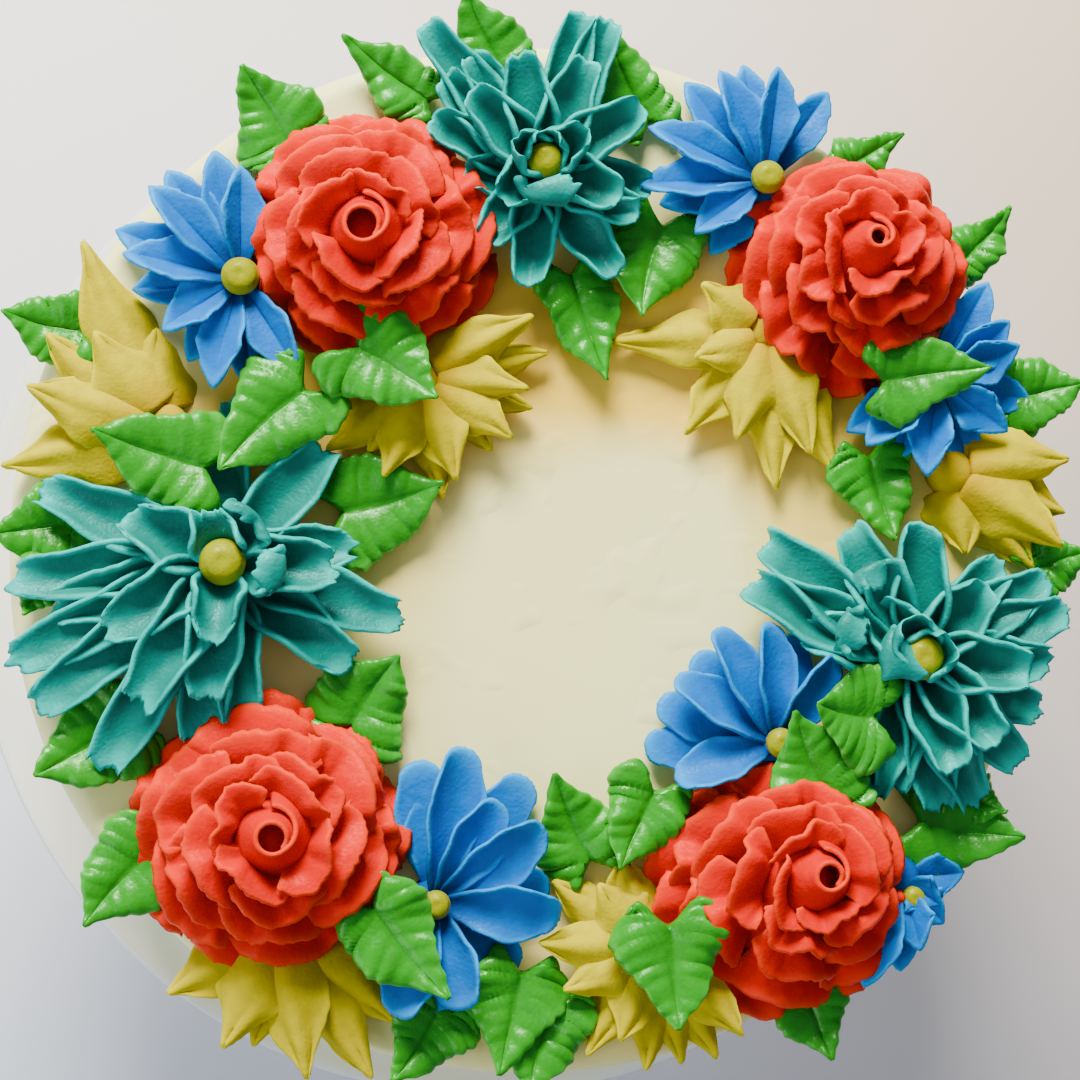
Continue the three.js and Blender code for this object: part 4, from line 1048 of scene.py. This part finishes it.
def leaf_blade(shells, rng, root, tip, half_width):
    """A heart-shaped blade with ribs that fan out from its root, and with folds and waves at its sides."""
    style = LEAF_STYLE
    rows, columns = LEAF_GRID
    t = np.linspace(0, 1, rows + 1)[:, None]
    s = (2 * spread_out(columns, 0.6) - 1)[None, :]
    outward = np.abs(s)
    run = tip - root
    direction = unit(run)
    across = unit(np.cross(UP, direction))
    length = np.linalg.norm(run)
    width = half_width * heart(t)
    phase = rng.uniform(0, 2 * np.pi, 4)
    bend = rng.uniform(-0.05, 0.05)
    side = np.where(s > 0, phase[0], phase[1])

    fan_angle = np.arctan2((t + 0.08) * length, outward * width + 0.02 * length)
    along = 2 * np.pi * style["ribs"] * t + style["fan"] * fan_angle
    along = along + 0.9 * np.sin(5 * fan_angle + side) + 0.5 * np.sin(17 * t + phase[2]) + side
    ripple = np.sin(along) * smooth_step(0.0, 0.5, outward) * (0.65 + 0.35 * np.sin(0.4 * along + phase[3]))
    folds = np.sin(0.3 * along + 2 * side) * outward
    fade = 1 - 0.7 * t

    edge_waves = np.sin(2 * np.pi * (1.6 * t + np.where(s > 0, 0.3, 0.0)) + phase[2])
    sideways = width * s + (0.5 * ripple + 1.3 * edge_waves) * fade * outward**4 * np.sign(s)
    sideways = sideways + bend * length * np.sin(np.pi * t)
    back = -style["lobe"] * half_width * (1 - t) ** 2.4 * np.sin(np.pi * outward**1.5 * 0.72)

    valley = -style["valley"] * (1 - outward) ** 2
    droop = -style["droop"] * outward**3
    slow = style["wander"] * outward**2 * np.sin(2 * np.pi * (1.3 * t + 0.3 * s) + phase[3])
    lift = (valley + droop + slow) * (1 - t * t) + style["tip_lift"] * t**3
    lift = lift + (style["rib_depth"] * ripple + style["fold_depth"] * folds) * fade
    lift = lift - style["vein"] * np.exp(-outward / 0.07) * np.sin(np.pi * np.clip(t * 1.1, 0, 1))
    middle = root + run * t[..., None] + across * sideways[..., None] + direction * back[..., None]
    middle = middle + UP * lift[..., None]

    rim_width = np.clip(1.2 / np.maximum(width, 0.6), 0.05, 0.6)
    half = half_thickness(outward, style["thickness"], style["rim"], rim_width) * (1 - 0.7 * t**1.5)
    half = half * round_end(t, 0.05) * round_start(t, 0.05)
    # The rim share sets a painted highlight along the leaf's edges.
    rim = outward**5 * np.ones_like(t)
    # Painted shade along the midrib, darker towards the root.
    painted_shade = 0.55 * np.exp(-outward / 0.12) * (1 - t)
    shells.sheet(middle, half, rim, painted_shade)


def leaf(name, blades, seed):
    rng = np.random.default_rng(seed)
    shells = Shells()
    for root, tip, half_width, height in blades:
        leaf_blade(shells, rng, seen(root, height), seen(tip, height), half_width)
    return finish_piece(shells, name + "_icing", name, "green_icing")


# The cake and its stand


def turned(shells, profile, segments, base, uneven=None):
    """A turned shape from (radius, height) pairs. Uneven is a function that moves its points a little."""
    angles = turns_round(segments)[None, :]
    radius = np.array([pair[0] for pair in profile], dtype=float)[:, None]
    height = np.array([pair[1] for pair in profile], dtype=float)[:, None]
    points = np.stack([radius * np.cos(angles), radius * np.sin(angles), base + height + 0 * angles], axis=-1)
    if uneven is not None:
        points = uneven(points, radius, height, angles)
    shells.ring(points)


CAKE_EDGE_ROUND = 5
CAKE_SIDES = 160
CAKE_SIDE_RINGS = 28
CAKE_EDGE_RINGS = 10
CAKE_TOP_RINGS = 46
CAKE_TOP_WAVE = 0.22
CAKE_SIDE_WAVE = 0.0012


def cake():
    """A round cake with a rounded top edge, whose icing is a little uneven on top and at its side."""
    shells = Shells()
    height = CAKE_TOP - CAKE_BASE
    flat = CAKE_RADIUS - CAKE_EDGE_ROUND
    corner = height - CAKE_EDGE_ROUND
    profile = [(2, 0), (60, 0), (CAKE_RADIUS - 1.5, 0), (CAKE_RADIUS - 0.4, 0.5), (CAKE_RADIUS, 1.6)]
    profile += [(CAKE_RADIUS, level) for level in np.linspace(5, corner - 4, CAKE_SIDE_RINGS)]
    for angle in np.linspace(0, np.pi / 2, CAKE_EDGE_RINGS):
        profile.append((flat + CAKE_EDGE_ROUND * math.cos(angle), corner + CAKE_EDGE_ROUND * math.sin(angle)))
    profile += [(radius, height) for radius in np.linspace(flat - 2, 1, CAKE_TOP_RINGS)]

    def uneven(points, radius, level, angles):
        x, y = points[..., 0], points[..., 1]
        slow = np.sin(0.035 * x + 1.1) * np.sin(0.041 * y + 0.4) + 0.5 * np.sin(0.08 * x - 0.05 * y)
        top = (level > height - 0.5) * smooth_step(CAKE_RADIUS, flat - 6, radius)
        points[..., 2] -= CAKE_TOP_WAVE * top * (1.2 + slow)
        band = np.sin(9 * angles + 0.05 * level) + 0.6 * np.sin(23 * angles - 0.09 * level)
        side = smooth_step(flat, CAKE_RADIUS, radius) * smooth_step(0, 8, level)
        points[..., :2] *= (1 - CAKE_SIDE_WAVE * side * (1.6 + band))[..., None]
        return points

    turned(shells, profile, CAKE_SIDES, CAKE_BASE, uneven)
    return finish_piece(shells, "cake_icing", "cake", "ivory_icing")


# The stand's outline runs from the middle of its foot up to its plate's rim and back to the plate's middle.

STAND_SIDES = 128
RIM_OVER_SEAT = 3
OUTLINE_SEAT = 95
STAND_OUTLINE = [
    (2, 0), (58, 0), (61.4, 0.3), (62, 1.2), (61.8, 2.4), (60, 3.4), (52, 5.8), (44.6, 9), (34, 14),
    (24.8, 20), (19.6, 28), (17.2, 38), (17, 46), (17.8, 56), (20.4, 66), (25.5, 76), (36, 83), (51, 87),
    (80, 88.8), (108, 89.6), (117, 90), (121, 92.2), (124, 95.2), (125, 97), (124.6, 97.8), (123.4, 98),
    (121.6, 97.2), (118, 95.5), (114, OUTLINE_SEAT), (60, OUTLINE_SEAT), (2, OUTLINE_SEAT)]


def stand():
    shells = Shells()
    seat = STAND_TOP - RIM_OVER_SEAT
    profile = [(radius, level * seat / OUTLINE_SEAT) for radius, level in STAND_OUTLINE]
    turned(shells, profile, STAND_SIDES, 0)
    return finish_piece(shells, "china_stand", "stand", "china")


# Light and floor, in metres

FLOOR_REACH = 3.0
SKY_COLOUR = (0.86, 0.92, 1.0, 1.0)
SKY_STRENGTH = 0.38
LIGHTS = {
    "window": {"place": (-0.2, 0.9, 0.8), "size": (0.5, 0.4), "power": 42, "colour": (1.0, 0.96, 0.9)},
    "fill": {"place": (-0.9, -0.5, 0.8), "size": (0.8, 0.8), "power": 8, "colour": (0.88, 0.94, 1.0)},
}


def area_light(name, place, size, power, colour):
    """An area light that is aimed at the middle of the cake's top."""
    data = bpy.data.lights.new(name, "AREA")
    data.shape = "RECTANGLE"
    data.size, data.size_y = size
    data.energy = power
    data.color = colour
    light = bpy.data.objects.new(name, data)
    bpy.context.scene.collection.objects.link(light)
    light.location = place
    aim = Vector((0, 0, CAKE_TOP * MM)) - light.location
    light.rotation_mode = "QUATERNION"
    light.rotation_quaternion = aim.to_track_quat("-Z", "Y")


def make_stage():
    reach = FLOOR_REACH
    corners = [(-reach, -reach, 0), (reach, -reach, 0), (reach, reach, 0), (-reach, reach, 0)]
    mesh = bpy.data.meshes.new("floor")
    mesh.from_pydata(corners, [], [(0, 1, 2, 3)])
    mesh.materials.append(MATERIALS["floor"])
    floor = bpy.data.objects.new("floor", mesh)
    bpy.context.scene.collection.objects.link(floor)
    world = bpy.data.worlds.new("studio")
    world.use_nodes = True
    world.node_tree.nodes["Background"].inputs["Color"].default_value = SKY_COLOUR
    world.node_tree.nodes["Background"].inputs["Strength"].default_value = SKY_STRENGTH
    bpy.context.scene.world = world
    for name, light in LIGHTS.items():
        area_light(name, **light)


make_camera()
make_stage()
stand()
cake()
for seed, (name, places) in enumerate(TEALS.items()):
    teal_flower(name, places, seed)
for seed, (name, places) in enumerate(ROSES.items()):
    rose_flower(name, places, 10 + seed)
for seed, (name, places) in enumerate(BLUES.items()):
    blue_flower(name, places, 20 + seed)
for seed, (name, places) in enumerate(YELLOWS.items()):
    yellow_flower(name, places, 30 + seed)
for name, sizes in DOTS.items():
    dot(name, **sizes)
for seed, (name, blades) in enumerate(LEAVES.items()):
    leaf(name, blades, 40 + seed)
